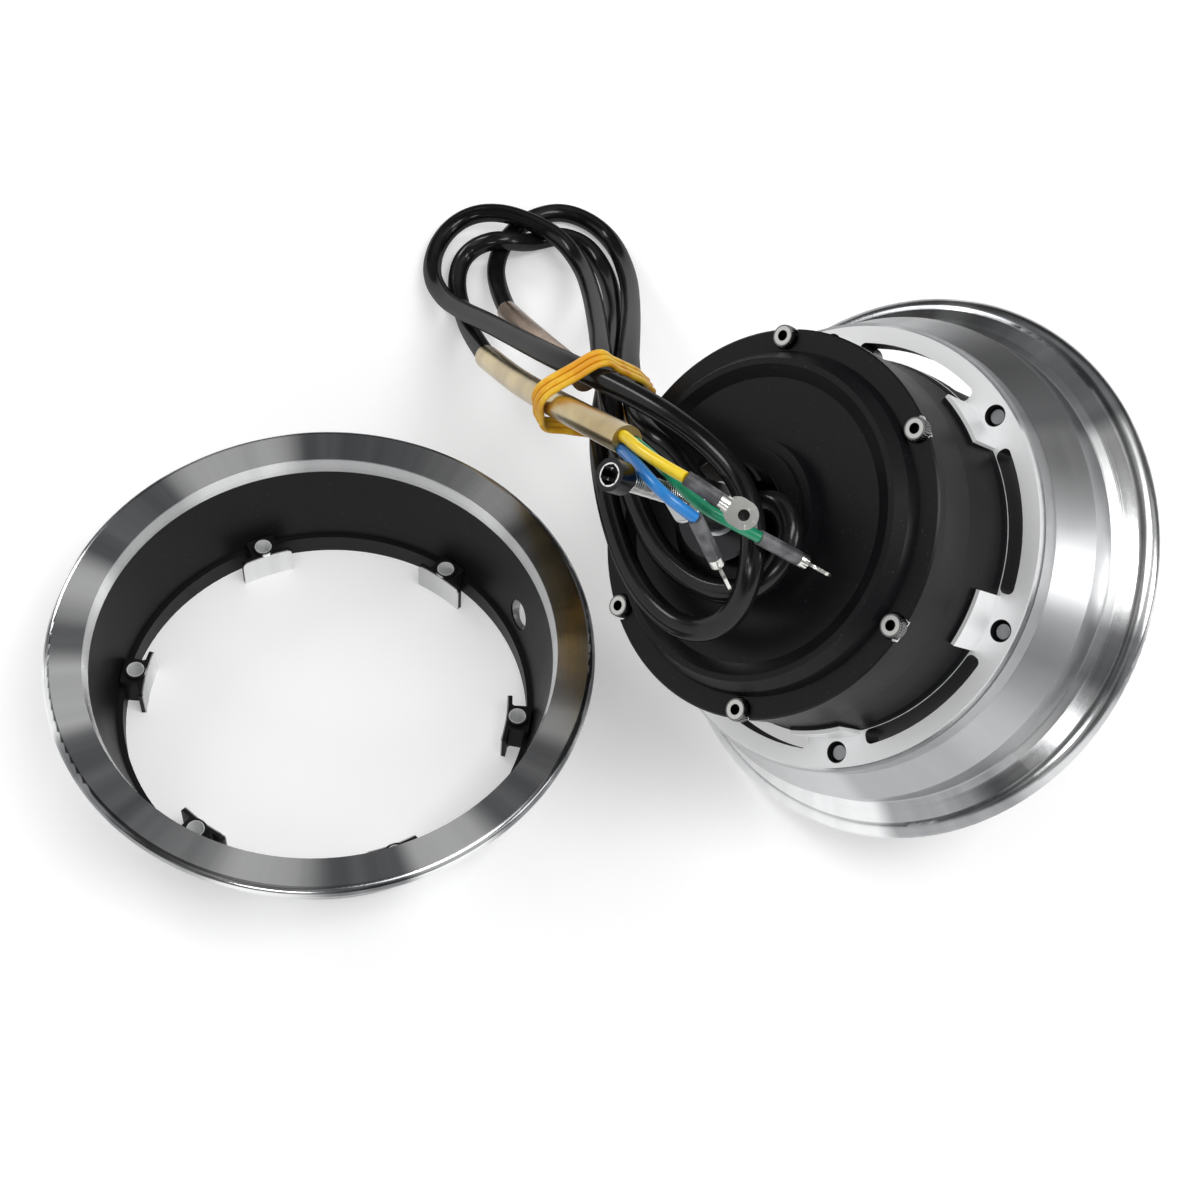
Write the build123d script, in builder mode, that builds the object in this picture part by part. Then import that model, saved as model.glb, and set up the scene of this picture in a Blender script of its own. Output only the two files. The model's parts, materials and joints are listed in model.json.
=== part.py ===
"""Electric scooter hub motor with a split rim, its removable rim half lying beside it.

Millimetres, +Z up. The removable half lies flat on the ground, tyre lip up. The motor leans on the lip of
its fixed rim half and on the head of its rear axle bolt. The origin is on the ground, under the middle of
the box round both.

Heights along the motor's axis are measured from the widest circle of the fixed rim half, towards the
cable side. Heights on the removable half are measured from the ground.
"""
from build123d import *
import math
import os

os.makedirs("parts", exist_ok=True)

# Rim, shared by both halves
bead_radius = 83.0
bead_width = 11.0
bead_rise = 7.3
flange_height = 12.0
rim_depth = 43.6
lip_round = 2.6
barrel_wall = 3.3
bore_lip_wall = 1.2
bore_wall = 2.7
bore_bevel = 4.6
flange_dish = 1.2
flange_roll = 5.0
bead_foot = 10.4
bead_fillet = 2.4
neck_height = 8.6
ledge_width = 1.8
joint_step = 1.4

# Six lugs on the removable half, on six pads of the fixed half
lug_count = 6
lug_depth = 7.2
lug_bolt_inset = 3.2
lug_height = 12.5
lug_width = 20.0
lug_plate = 1.8
lug_corner = 1.7
lug_waist = 10.0
lug_fillet = 1.0
lug_hole = 2.9
lug_boss_radius = 3.9
lug_boss_rise = 1.2
lug_clearance = 0.6
pad_hole = 3.5
pad_mouth_depth = 3.4
pad_turn = 26.4
slot_width = 5.0
slot_land = 0.4
slot_angle = 41.0
land_width = 19.0
land_length = 13.5
land_rise = 0.5
land_root = 1.0
valve_hole = 5.75
valve_height = 18.0
valve_turn = 32.0

# Motor shell and covers
shell_gap = 2.6
shell_thickness = 5.6
shell_flare = 3.0
shell_waist = 0.8
shell_front = 82.4
shell_back = 4.0
cover_lip = 4.0
cover_gap = 0.1
spigot_depth = 3.0
spigot_wall = 4.0
cover_wall = 4.0
dome_inset = 7.2
dome_slope = 3.9
dome_rise = 7.6
dish_depth = 1.6
dish_run = 6.0
crest_run = 2.0
foot_step = 1.2
foot_drop = 4.0
lip_chamfer = 0.6
boss_radius = 25.3
boss_rise = 7.8
boss_step = 22.2
boss_shelf = 1.6
web_clearance = 6.0
cover_screws = 6
cover_screw_inset = 2.8
cover_screw_turn = 17.4
screw_radius = 2.0
screw_head_radius = 3.5
screw_head_height = 4.0
screw_length = 12.0
screw_recess = 1.6
screw_seat_radius = 4.3
screw_socket = 1.5
socket_share = 0.6

# Brake disc mount on the rear cover
disc_boss_radius = 30.0
disc_boss_rise = 13.0
disc_register_radius = 17.5
disc_register_rise = 1.6
disc_holes = 6
disc_circle_radius = 23.5
disc_hole_radius = 2.5
disc_hole_depth = 9.0

# Bearings and seals
bearing_radius = 20.0
bearing_bore = 8.5
bearing_width = 12.0
race_wall = 3.2
ball_radius = 2.9
ball_count = 8
rear_bearing_height = 1.0
bearing_shoulder = 1.1
ball_play = 0.05
seal_radius = 16.0
rear_seal_radius = 15.0
seal_width = 3.4
seal_gap = 0.05

# Magnets and stator
flux_ring_wall = 4.0
magnet_count = 30
magnet_wall = 2.7
magnet_share = 0.89
magnet_length = 44.0
flux_ring_over = 1.0
air_gap = 0.6
stator_length = 42.0
tooth_count = 27
tooth_share = 0.6
tooth_tip_share = 0.81
tooth_tip_wall = 2.2
stator_depth = 18.7
back_iron = 5.0
coil_share = 0.19
coil_overhang = 4.5
coil_gap = 0.4
carrier_wall = 4.0
carrier_web = 8.0
carrier_hub_radius = 17.0
carrier_holes = 6
carrier_hole_share = 0.72
board_width = 9.0
board_thickness = 1.6
board_angle = 110.0
board_corner = 1.0

# Axle
axle_nose = 19.3
axle_back = 62.0
axle_seat_radius = 8.0
axle_end_radius = 7.7
axle_flat_width = 12.0
axle_flat_length = 18.0
axle_round = 1.0
journal_over = 10.0
axle_middle_radius = 11.0
cable_bore = 4.5
outlet_rise = 5.0
inlet_rise = 9.8
outlet_radius = 4.2
grommet_core = 5.4
power_turn = 62.0
signal_turn = 195.0
inlet_turn = 20.0
end_bolt_radius = 3.0
end_bolt_head_radius = 5.0
end_bolt_head_height = 6.0
end_bolt_socket = 2.9
end_bolt_out = 30.0
end_bolt_in = 16.0
collar_radius = 16.4
collar_gap = 1.0
collar_over = 0.5
collar_floor = 0.1
collar_notch = 4.2
collar_notch_flare = 1.7
collar_notch_over = 1.0
collar_chamfer = 0.8

# Rim bolts, left in the pads from the rear
rim_bolt_radius = 3.0
rim_bolt_head_radius = 5.0
rim_bolt_head_height = 6.0
rim_bolt_length = 18.0
rim_bolt_tip = 1.8
rim_bolt_chamfer = 0.6

# Cables: the power cable with its three phase wires, and the signal cable
cable_radius = 3.9
power_sleeve_radius = 4.7
signal_sleeve_radius = 4.4
wire_radius = 1.8
shrink_radius = 2.3
into_sleeve = 5.0
terminal_barrel_radius = 2.2
terminal_barrel = 3.0
terminal_ring_radius = 4.3
terminal_stretch = 2.0
terminal_reach = 7.0
terminal_hole = 1.7
terminal_thickness = 1.0
terminal_neck = 5.0
corner_share = 0.45

# Rubber band round the crossing of the cables
band_strands = 3
band_strand_radius = 1.05
band_pitch = 2.3

# Hand-chosen points of the cables, from the middle of the removable half on the ground
power_route = [
    (136.0, 4.8, 148.1), (140.8, 4.2, 152.3), (145.8, 0.0, 154.5), (148.7, -7.8, 152.7),
    (145.6, -16.0, 145.3), (138.0, -19.3, 136.5), (128.2, -15.7, 129.5), (119.5, -8.8, 125.3),
    (110.3, 1.8, 122.6), (103.0, 15.6, 122.8), (97.0, 29.1, 125.6), (92.3, 47.8, 121.1),
    (88.4, 70.4, 113.4), (84.0, 103.1, 94.6), (80.3, 146.2, 62.9), (74.8, 193.2, 30.8),
    (68.6, 222.7, 14.0), (58.0, 238.2, 12.5), (44.3, 244.6, 13.3), (30.9, 248.5, 12.6),
    (18.8, 248.8, 9.0), (9.8, 242.3, 5.5), (5.2, 229.4, 4.0), (6.4, 212.5, 6.0), (14.1, 194.4, 14.0),
    (25.3, 172.2, 32.4), (37.9, 146.8, 56.3), (53.2, 114.0, 86.3), (67.9, 81.4, 116.6),
    (81.5, 61.8, 133.2), (95.2, 49.7, 140.4), (108.6, 36.3, 147.6), (119.5, 20.9, 156.4),
    (128.7, 7.0, 161.5), (134.3, -4.0, 161.2), (136.9, -14.1, 157.2), (137.3, -21.7, 150.4),
    (136.0, -26.1, 141.6), (132.9, -27.9, 133.3), (127.7, -27.7, 125.7), (121.2, -24.2, 119.5),
    (114.2, -17.6, 115.3), (106.6, -7.9, 112.9), (100.1, 3.7, 112.8), (94.4, 17.2, 115.1),
    (90.4, 30.0, 117.8), (87.5, 52.4, 108.1), (86.5, 75.8, 98.5), (87.0, 109.2, 79.8),
    (86.9, 146.7, 56.2), (84.8, 195.7, 20.3), (79.9, 226.8, 5.0), (70.5, 243.2, 4.0),
    (58.3, 247.8, 4.0), (49.7, 243.3, 4.0), (43.7, 237.6, 7.0), (37.7, 232.5, 12.4),
    (31.8, 231.4, 13.2), (26.4, 230.6, 11.2), (21.5, 229.8, 7.6), (17.8, 225.4, 4.8),
    (16.8, 217.3, 4.0), (18.3, 207.1, 4.0), (22.4, 195.2, 6.0), (26.3, 177.9, 18.4),
    (31.4, 160.6, 30.3), (39.3, 137.7, 46.5),
]
signal_route = [
    (123.9, 11.9, 140.9), (117.7, 18.8, 139.2), (111.7, 28.2, 138.9), (105.0, 34.3, 137.2),
    (99.0, 47.9, 129.0), (96.5, 66.2, 118.8), (93.4, 97.6, 100.0), (92.9, 131.0, 76.6),
    (91.8, 177.6, 41.9), (88.9, 219.7, 14.0), (81.5, 246.2, 4.1), (70.3, 257.6, 4.1),
    (56.7, 262.0, 4.1), (44.6, 256.3, 4.1), (36.7, 245.9, 4.1), (33.0, 234.5, 4.1), (32.4, 221.8, 5.0),
    (36.0, 206.6, 9.0), (42.4, 182.5, 23.6),
]
power_sleeve_route = [
    (39.3, 137.7, 46.5), (54.7, 97.2, 82.8), (68.7, 61.9, 117.2), (82.2, 31.1, 147.4),
    (96.0, 3.4, 173.7),
]
signal_sleeve_route = [
    (42.4, 182.5, 23.6), (53.3, 147.8, 53.3), (64.2, 115.6, 81.0), (73.1, 91.1, 101.5),
    (79.3, 74.8, 114.9),
]
yellow_route = [
    (94.2, 5.0, 174.8), (102.5, -8.4, 182.2), (113.8, -16.8, 185.5),
]
yellow_shrink_route = [
    (113.8, -16.8, 185.5), (124.2, -21.0, 182.7),
]
blue_route = [
    (94.8, 1.4, 172.3), (100.6, -10.7, 179.7), (106.0, -20.5, 184.0), (112.2, -24.4, 182.3),
    (117.8, -25.5, 178.7),
]
blue_shrink_route = [
    (117.8, -25.5, 178.7), (125.0, -28.7, 165.4),
]
green_route = [
    (98.2, 3.5, 173.7), (107.6, -4.0, 172.9), (118.6, -16.3, 172.8), (129.1, -19.1, 169.9),
    (137.6, -19.1, 164.7),
]
green_shrink_route = [
    (137.6, -19.1, 164.7), (150.4, -18.9, 156.4),
]

towards_reader = (0.01, -0.64, 0.77)
band_middle = (84.6, 65.7, 119.8)
band_across = (0.820, 0.474, 0.321)
band_normal = (0.531, -0.840, -0.113)
band_outline = [
    (17.2, -13.2), (16.1, -8.5), (15.1, -3.7), (12.8, 2.1), (10.5, 7.8), (8.2, 13.6), (6.0, 19.4),
    (3.4, 21.0), (-2.3, 20.6), (-8.1, 20.2), (-13.8, 19.8), (-16.0, 19.1), (-17.9, 17.4), (-19.3, 15.0),
    (-20.5, 8.8), (-21.6, 2.6), (-21.1, -1.4), (-17.1, -7.6), (-13.0, -13.7), (-9.0, -19.9), (-5.0, -26.1),
    (-2.6, -28.1), (0.5, -28.6), (1.6, -28.2), (6.4, -24.6), (11.2, -21.0), (15.9, -17.4), (16.9, -15.5),
]

# Where the two halves lie
wheel_gap = 101.0
wheel_stagger = 46.0
lean_azimuth = 211.3

# Sizes that follow
rim_radius = bead_radius + flange_height
barrel_radius = bead_radius - bead_rise
neck_radius = barrel_radius - barrel_wall
bore_lip_radius = bead_radius - bore_lip_wall
bore_radius = bead_radius - bore_wall
lug_circle_radius = neck_radius - lug_bolt_inset
lug_face_radius = neck_radius - lug_depth
shell_radius = lug_face_radius - shell_gap
shell_bore = shell_radius - shell_thickness
cover_screw_circle = shell_radius - cover_screw_inset
dome_foot_radius = shell_radius - dome_inset
dome_radius = dome_foot_radius - dome_slope
front_face = shell_front + cover_lip
rear_face = shell_back - cover_lip
front_boss_top = front_face + dome_rise - dish_depth + boss_rise
middle = (shell_front + shell_back) / 2.0
magnet_radius = shell_bore - flux_ring_wall - magnet_wall
magnet_width = magnet_share * 2.0 * math.pi * magnet_radius / magnet_count
stator_radius = magnet_radius - air_gap
stator_bore = stator_radius - stator_depth
stator_low = middle - stator_length / 2.0
stator_high = middle + stator_length / 2.0
tooth_foot = stator_bore + back_iron
tooth_pitch = 2.0 * math.pi * tooth_foot / tooth_count
tooth_width = tooth_share * tooth_pitch
tooth_tip_width = tooth_tip_share * 2.0 * math.pi * stator_radius / tooth_count
coil_wall = coil_share * tooth_pitch
collar_low = front_boss_top + collar_gap
outlet_height = collar_low + outlet_rise
collar_high = outlet_height + cable_bore
inlet_height = stator_high + inlet_rise
axle_front = collar_high + axle_nose
end_bolt_reach = axle_back + end_bolt_out + end_bolt_head_height
lip_centre = rim_radius - lip_round
rest_span = lip_centre - end_bolt_head_radius
lean_to_lip = math.asin(lip_round / math.hypot(rest_span, end_bolt_reach))
lean = math.degrees(math.atan(end_bolt_reach / rest_span) - lean_to_lip)
lean_sine = math.sin(math.radians(lean))
lean_cosine = math.cos(math.radians(lean))
azimuth = math.radians(lean_azimuth)
axis_x = lean_sine * math.cos(azimuth)
axis_y = lean_sine * math.sin(azimuth)


def reach(part_of_axis):
    """How far a rim reaches along a direction that its axis has this part of."""
    return lip_centre * math.sqrt(1.0 - part_of_axis ** 2) + lip_round


motor_height = lip_centre * lean_sine + lip_round
wheel_spacing = wheel_gap + rim_radius
middle_x = (wheel_spacing + reach(axis_x) - rim_radius) / 2.0
middle_y = (wheel_stagger + reach(axis_y) - rim_radius) / 2.0
ground = Plane(origin=(-middle_x, -middle_y, 0.0))
motor = Plane(
    origin=(wheel_spacing - middle_x, wheel_stagger - middle_y, motor_height),
    x_dir=(-math.sin(azimuth), math.cos(azimuth), 0.0),
    z_dir=(axis_x, axis_y, lean_cosine),
)
motor_section = Plane(origin=motor.origin, x_dir=motor.x_dir, z_dir=-motor.y_dir)
ground_section = Plane(origin=ground.origin, x_dir=ground.x_dir, z_dir=-ground.y_dir)
spin = Axis(motor.origin, motor.z_dir)
upright = Axis(ground.origin, ground.z_dir)


def outline(points, plane=motor_section):
    """A closed face with straight sides on a plane."""
    with BuildSketch(plane) as face:
        with BuildLine():
            Polyline(*points, close=True)
        make_face()
    return face.sketch


def band(inner, outer, low, high, plane=motor_section):
    """A rectangle between two radii and two heights, to be turned about the axis."""
    return outline([(inner, low), (outer, low), (outer, high), (inner, high)], plane)


def round_spots(height, circle, count, radius, turn, plane=motor):
    """Round faces spaced evenly on a circle across the axis."""
    with BuildSketch(plane.offset(height)) as spots:
        with PolarLocations(circle, count, start_angle=turn):
            Circle(radius)
    return spots.sketch


def sector(inner, outer, half_angle, corner=0.0):
    """A piece of a ring's face, centred on the sketch's own X axis."""
    with BuildSketch() as face:
        with BuildLine():
            inside = CenterArc((0, 0), inner, -half_angle, 2 * half_angle)
            outside = CenterArc((0, 0), outer, -half_angle, 2 * half_angle)
            Line(inside @ 0, outside @ 0)
            Line(inside @ 1, outside @ 1)
        make_face()
        if corner:
            fillet(face.vertices(), corner)
    return face.sketch


def half_angle_of(width, radius):
    """Half the angle that a width spans at a radius, in degrees."""
    return math.degrees(math.asin(width / 2.0 / radius))


def rim_section(plane, level):
    """The barrel, bead seat and rolled lip of one rim half; level turns depth under the lip into height."""
    bead_start = rim_depth - bead_foot - bead_width
    roll = lip_round * math.sqrt(0.5)
    with BuildSketch(plane) as section:
        with BuildLine():
            Polyline(
                (lip_centre, level(rim_depth + lip_round)),
                (bore_lip_radius, level(rim_depth + lip_round - flange_dish)),
                (bore_radius, level(rim_depth - bore_bevel)),
                (neck_radius + ledge_width, level(neck_height)),
                (neck_radius, level(neck_height)),
                (neck_radius, level(0)),
                (barrel_radius - joint_step, level(0)),
                (barrel_radius - joint_step, level(joint_step)),
                (barrel_radius, level(joint_step)),
                (barrel_radius, level(neck_height)),
                (bead_radius, level(bead_start)),
                (bead_radius, level(rim_depth - bead_foot)),
                (bead_radius + bead_fillet, level(rim_depth - bead_foot + bead_fillet)),
                (rim_radius - flange_roll, level(rim_depth - flange_roll)),
            )
            ThreePointArc(
                (rim_radius - flange_roll, level(rim_depth - flange_roll)),
                (rim_radius - flange_roll * 0.2, level(rim_depth - flange_roll * 0.55)),
                (rim_radius, level(rim_depth)),
            )
            ThreePointArc(
                (rim_radius, level(rim_depth)),
                (lip_centre + roll, level(rim_depth + roll)),
                (lip_centre, level(rim_depth + lip_round)),
            )
        make_face()
    return section.sketch


def removable_level(depth):
    """Height on the removable half, which stands on its lugs."""
    return depth


def fixed_level(depth):
    """Height on the fixed half, whose joint face looks towards the cable side."""
    return rim_depth - depth


with BuildPart() as lug:
    with BuildSketch():
        add(sector(lug_face_radius, lug_face_radius + lug_plate, half_angle_of(lug_width, lug_circle_radius)))
        lug_root = lug_face_radius + lug_plate / 2.0
        add(sector(lug_root, barrel_radius - barrel_wall / 2.0, half_angle_of(lug_waist, lug_circle_radius)))
    extrude(amount=lug_height)
    top_lines = lug.edges().group_by(Axis.Z)[-1].filter_by(GeomType.LINE)
    plate_corners = top_lines.filter_by(lambda edge: abs(edge.center().Y) > lug_waist / 2.0 + lug_fillet)
    fillet(plate_corners, lug_corner)
    uprights = lug.edges().filter_by(Axis.Z)
    plate_roots = uprights.filter_by(lambda edge: abs(edge.center().Y) < lug_waist / 2.0 + lug_fillet)
    fillet(plate_roots.sort_by(Axis.X)[:2], lug_fillet)

with BuildPart() as removable_rim_half:
    revolve(rim_section(ground_section, removable_level), axis=upright)
    with Locations(ground):
        with PolarLocations(0, lug_count):
            add(lug.part)
    with BuildSketch(ground.offset(lug_height)):
        with PolarLocations(lug_circle_radius, lug_count):
            Circle(lug_boss_radius)
    extrude(amount=lug_boss_rise)
    extrude(round_spots(0, lug_circle_radius, lug_count, lug_hole, 0, ground), amount=2 * lug_height, mode=Mode.SUBTRACT)
    valve_line = Plane(
        origin=ground.origin + Vector(0, 0, valve_height),
        x_dir=(0, 0, 1),
        z_dir=(math.cos(math.radians(valve_turn)), math.sin(math.radians(valve_turn)), 0),
    )
    with BuildSketch(valve_line):
        Circle(valve_hole)
    extrude(amount=rim_radius, mode=Mode.SUBTRACT)
removable_rim_half.part.label = "removable_rim_half"
export_step(removable_rim_half.part, "parts/removable_rim_half.step")

pad_floor = rim_depth - neck_height

with BuildPart() as hub_shell:
    revolve(rim_section(motor_section, fixed_level), axis=spin)
    revolve(band(shell_bore, barrel_radius - barrel_wall / 2.0, pad_floor, rim_depth), axis=spin)
    shell_outline = [
        (shell_bore, shell_back),
        (shell_radius, shell_back),
        (shell_radius, rim_depth - shell_flare),
        (shell_radius + land_rise, rim_depth),
        (shell_radius, rim_depth + shell_flare),
        (shell_radius - shell_waist, (rim_depth + shell_front) / 2.0 + shell_flare),
        (shell_radius, shell_front),
        (shell_bore, shell_front),
    ]
    revolve(outline(shell_outline), axis=spin)
    land_radius = lug_face_radius - lug_clearance
    with BuildSketch(motor.offset(rim_depth)):
        with PolarLocations(0, lug_count, start_angle=pad_turn):
            add(sector(shell_bore + land_root, land_radius, half_angle_of(land_width, land_radius)))
    extrude(amount=land_length)
    slot_inner = shell_radius + land_rise + slot_land
    with BuildSketch(motor.offset(rim_depth)):
        with PolarLocations(0, lug_count, start_angle=pad_turn + 180.0 / lug_count):
            add(sector(slot_inner, slot_inner + slot_width, slot_angle / 2.0, slot_width * 0.4))
    extrude(amount=-neck_height, mode=Mode.SUBTRACT)
    pad_taps = round_spots(rim_depth, lug_circle_radius, lug_count, rim_bolt_radius, pad_turn)
    extrude(pad_taps, amount=-neck_height, mode=Mode.SUBTRACT)
    pad_mouths = round_spots(rim_depth, lug_circle_radius, lug_count, pad_hole, pad_turn)
    extrude(pad_mouths, amount=-pad_mouth_depth, mode=Mode.SUBTRACT)
    front_taps = round_spots(shell_front, cover_screw_circle, cover_screws, screw_radius, cover_screw_turn)
    extrude(front_taps, amount=-screw_length, mode=Mode.SUBTRACT)
    rear_taps = round_spots(shell_back, cover_screw_circle, cover_screws, screw_radius, cover_screw_turn)
    extrude(rear_taps, amount=screw_length, mode=Mode.SUBTRACT)
hub_shell.part.label = "hub_shell"
export_step(hub_shell.part, "parts/hub_shell.step")

cover_spigot = shell_bore - cover_gap
dome_wall_radius = cover_spigot - spigot_wall


def cover_revolved(level):
    """Lip, dome and bearing housing of a cover; level turns height over its joint into motor height."""
    dome_top = cover_lip + dome_rise
    dome_floor = dome_top - dish_depth - cover_wall
    return [
        (boss_radius, level(dome_floor)),
        (boss_radius, level(dome_top - dish_depth)),
        (dome_radius - dish_run, level(dome_top - dish_depth)),
        (dome_radius - crest_run, level(dome_top)),
        (dome_radius, level(dome_top)),
        (dome_foot_radius - foot_step, level(dome_top - foot_drop)),
        (dome_foot_radius, level(cover_lip)),
        (shell_radius - lip_chamfer, level(cover_lip)),
        (shell_radius, level(cover_lip - lip_chamfer)),
        (shell_radius, level(0)),
        (cover_spigot, level(0)),
        (cover_spigot, level(-spigot_depth)),
        (dome_wall_radius, level(-spigot_depth)),
        (dome_wall_radius, level(0)),
        (dome_radius - crest_run, level(dome_floor)),
    ]


def front_level(height):
    """Height on the front cover, over the shell's front face."""
    return shell_front + height


def rear_level(height):
    """Height on the rear cover, under the shell's back face."""
    return shell_back - height


def screw_spots(height, radius):
    """The places of the cover screws at a height."""
    return round_spots(height, cover_screw_circle, cover_screws, radius, cover_screw_turn)


front_bearing_low = front_boss_top - seal_width - bearing_shoulder - bearing_width
front_bearing_high = front_bearing_low + bearing_width
rear_bearing_high = rear_bearing_height + bearing_width
disc_face = rear_face - disc_boss_rise

with BuildPart() as front_cover:
    revolve(outline(cover_revolved(front_level)), axis=spin)
    housing = [
        (bearing_bore + web_clearance, front_bearing_low),
        (boss_radius, front_bearing_low),
        (boss_radius, front_boss_top - boss_shelf),
        (boss_step, front_boss_top - boss_shelf),
        (boss_step, front_boss_top),
        (bearing_bore + web_clearance, front_boss_top),
    ]
    revolve(outline(housing), axis=spin)
    revolve(band(0, bearing_radius, front_bearing_low, front_bearing_high), axis=spin, mode=Mode.SUBTRACT)
    seal_low = front_boss_top - seal_width
    revolve(band(0, seal_radius, seal_low, front_boss_top), axis=spin, mode=Mode.SUBTRACT)
    extrude(screw_spots(front_face - screw_recess, screw_seat_radius), amount=cover_lip, mode=Mode.SUBTRACT)
    extrude(screw_spots(front_face, screw_radius), amount=-cover_lip, mode=Mode.SUBTRACT)
front_cover.part.label = "front_cover"
export_step(front_cover.part, "parts/front_cover.step")

with BuildPart() as rear_cover:
    revolve(outline(cover_revolved(rear_level)), axis=spin)
    revolve(band(bearing_bore + web_clearance, disc_boss_radius, disc_face, 0), axis=spin)
    revolve(band(bearing_bore + web_clearance, boss_radius, 0, rear_bearing_high), axis=spin)
    register = band(bearing_bore + web_clearance, disc_register_radius, disc_face - disc_register_rise, disc_face)
    revolve(register, axis=spin)
    revolve(band(0, bearing_radius, rear_bearing_height, rear_bearing_high), axis=spin, mode=Mode.SUBTRACT)
    rear_seal_low = disc_face - disc_register_rise
    rear_seal_high = rear_seal_low + seal_width
    revolve(band(0, rear_seal_radius, rear_seal_low, rear_seal_high), axis=spin, mode=Mode.SUBTRACT)
    disc_taps = round_spots(disc_face, disc_circle_radius, disc_holes, disc_hole_radius, 0)
    extrude(disc_taps, amount=disc_hole_depth, mode=Mode.SUBTRACT)
    extrude(screw_spots(rear_face + screw_recess, screw_seat_radius), amount=-cover_lip, mode=Mode.SUBTRACT)
    extrude(screw_spots(rear_face, screw_radius), amount=cover_lip, mode=Mode.SUBTRACT)
rear_cover.part.label = "rear_cover"
export_step(rear_cover.part, "parts/rear_cover.step")


def socket_screw(seat, inward, radius, head_radius, head_height, length, socket):
    """Solids of one cap screw along the motor's axis: head out of the seat, shank inward of it."""
    with BuildPart() as screw:
        with BuildSketch(motor.offset(seat)):
            Circle(head_radius)
        extrude(amount=-inward * head_height)
        with BuildSketch(motor.offset(seat)):
            Circle(radius)
        extrude(amount=inward * length)
        if socket:
            with BuildSketch(motor.offset(seat - inward * head_height)):
                RegularPolygon(socket, 6, major_radius=False)
            extrude(amount=inward * head_height * socket_share, mode=Mode.SUBTRACT)
    return screw.part


def around(piece, circle, count, turn):
    """Copies of a piece, moved out to a circle about the motor's axis and spaced evenly."""
    moved = Location(motor.x_dir * circle) * piece
    return [moved.rotate(spin, turn + step * 360.0 / count) for step in range(count)]


with BuildPart() as front_cover_screws:
    cover_screw = socket_screw(front_face - screw_recess, -1, screw_radius, screw_head_radius, screw_head_height,
                               screw_length, screw_socket)
    add(around(cover_screw, cover_screw_circle, cover_screws, cover_screw_turn))
front_cover_screws.part.label = "front_cover_screws"
export_step(front_cover_screws.part, "parts/front_cover_screws.step")

with BuildPart() as rear_cover_screws:
    cover_screw = socket_screw(rear_face + screw_recess, 1, screw_radius, screw_head_radius, screw_head_height,
                               screw_length, screw_socket)
    add(around(cover_screw, cover_screw_circle, cover_screws, cover_screw_turn))
rear_cover_screws.part.label = "rear_cover_screws"
export_step(rear_cover_screws.part, "parts/rear_cover_screws.step")

with BuildPart() as rim_bolts:
    rim_bolt_seat = rim_depth - rim_bolt_tip - rim_bolt_length
    rim_bolt = socket_screw(rim_bolt_seat, 1, rim_bolt_radius, rim_bolt_head_radius, rim_bolt_head_height,
                            rim_bolt_length, end_bolt_socket)
    add(around(rim_bolt, lug_circle_radius, lug_count, pad_turn))
    chamfer(rim_bolts.faces().filter_by(Axis((0, 0, 0), motor.z_dir)).group_by(SortBy.AREA)[0].edges(), rim_bolt_chamfer)
rim_bolts.part.label = "rim_bolts"
export_step(rim_bolts.part, "parts/rim_bolts.step")

ball_circle = (bearing_bore + bearing_radius) / 2.0


def race(inner, outer, low):
    """A bearing race with the groove that the balls run in."""
    with BuildPart() as ring:
        revolve(band(inner, outer, low, low + bearing_width), axis=spin)
        with BuildSketch(motor_section) as groove:
            with Locations((ball_circle, low + bearing_width / 2.0)):
                Circle(ball_radius + ball_play)
        revolve(groove.sketch, axis=spin, mode=Mode.SUBTRACT)
    return ring.part


def ball_set(low):
    """The balls of one bearing."""
    centre = motor.origin + motor.z_dir * (low + bearing_width / 2.0)
    with BuildPart() as ball:
        with Locations(centre):
            Sphere(ball_radius)
    return around(ball.part, ball_circle, ball_count, 0)


with BuildPart() as front_bearing_outer:
    add(race(bearing_radius - race_wall, bearing_radius, front_bearing_low))
front_bearing_outer.part.label = "front_bearing_outer"
export_step(front_bearing_outer.part, "parts/front_bearing_outer.step")

with BuildPart() as front_bearing_inner:
    add(race(bearing_bore, bearing_bore + race_wall, front_bearing_low))
front_bearing_inner.part.label = "front_bearing_inner"
export_step(front_bearing_inner.part, "parts/front_bearing_inner.step")

with BuildPart() as front_bearing_balls:
    add(ball_set(front_bearing_low))
front_bearing_balls.part.label = "front_bearing_balls"
export_step(front_bearing_balls.part, "parts/front_bearing_balls.step")

with BuildPart() as rear_bearing_outer:
    add(race(bearing_radius - race_wall, bearing_radius, rear_bearing_height))
rear_bearing_outer.part.label = "rear_bearing_outer"
export_step(rear_bearing_outer.part, "parts/rear_bearing_outer.step")

with BuildPart() as rear_bearing_inner:
    add(race(bearing_bore, bearing_bore + race_wall, rear_bearing_height))
rear_bearing_inner.part.label = "rear_bearing_inner"
export_step(rear_bearing_inner.part, "parts/rear_bearing_inner.step")

with BuildPart() as rear_bearing_balls:
    add(ball_set(rear_bearing_height))
rear_bearing_balls.part.label = "rear_bearing_balls"
export_step(rear_bearing_balls.part, "parts/rear_bearing_balls.step")

with BuildPart() as front_seal:
    revolve(band(bearing_bore + seal_gap, seal_radius, seal_low, front_boss_top), axis=spin)
front_seal.part.label = "front_seal"
export_step(front_seal.part, "parts/front_seal.step")

with BuildPart() as rear_seal:
    revolve(band(bearing_bore + seal_gap, rear_seal_radius, rear_seal_low, rear_seal_high), axis=spin)
rear_seal.part.label = "rear_seal"
export_step(rear_seal.part, "parts/rear_seal.step")

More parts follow.
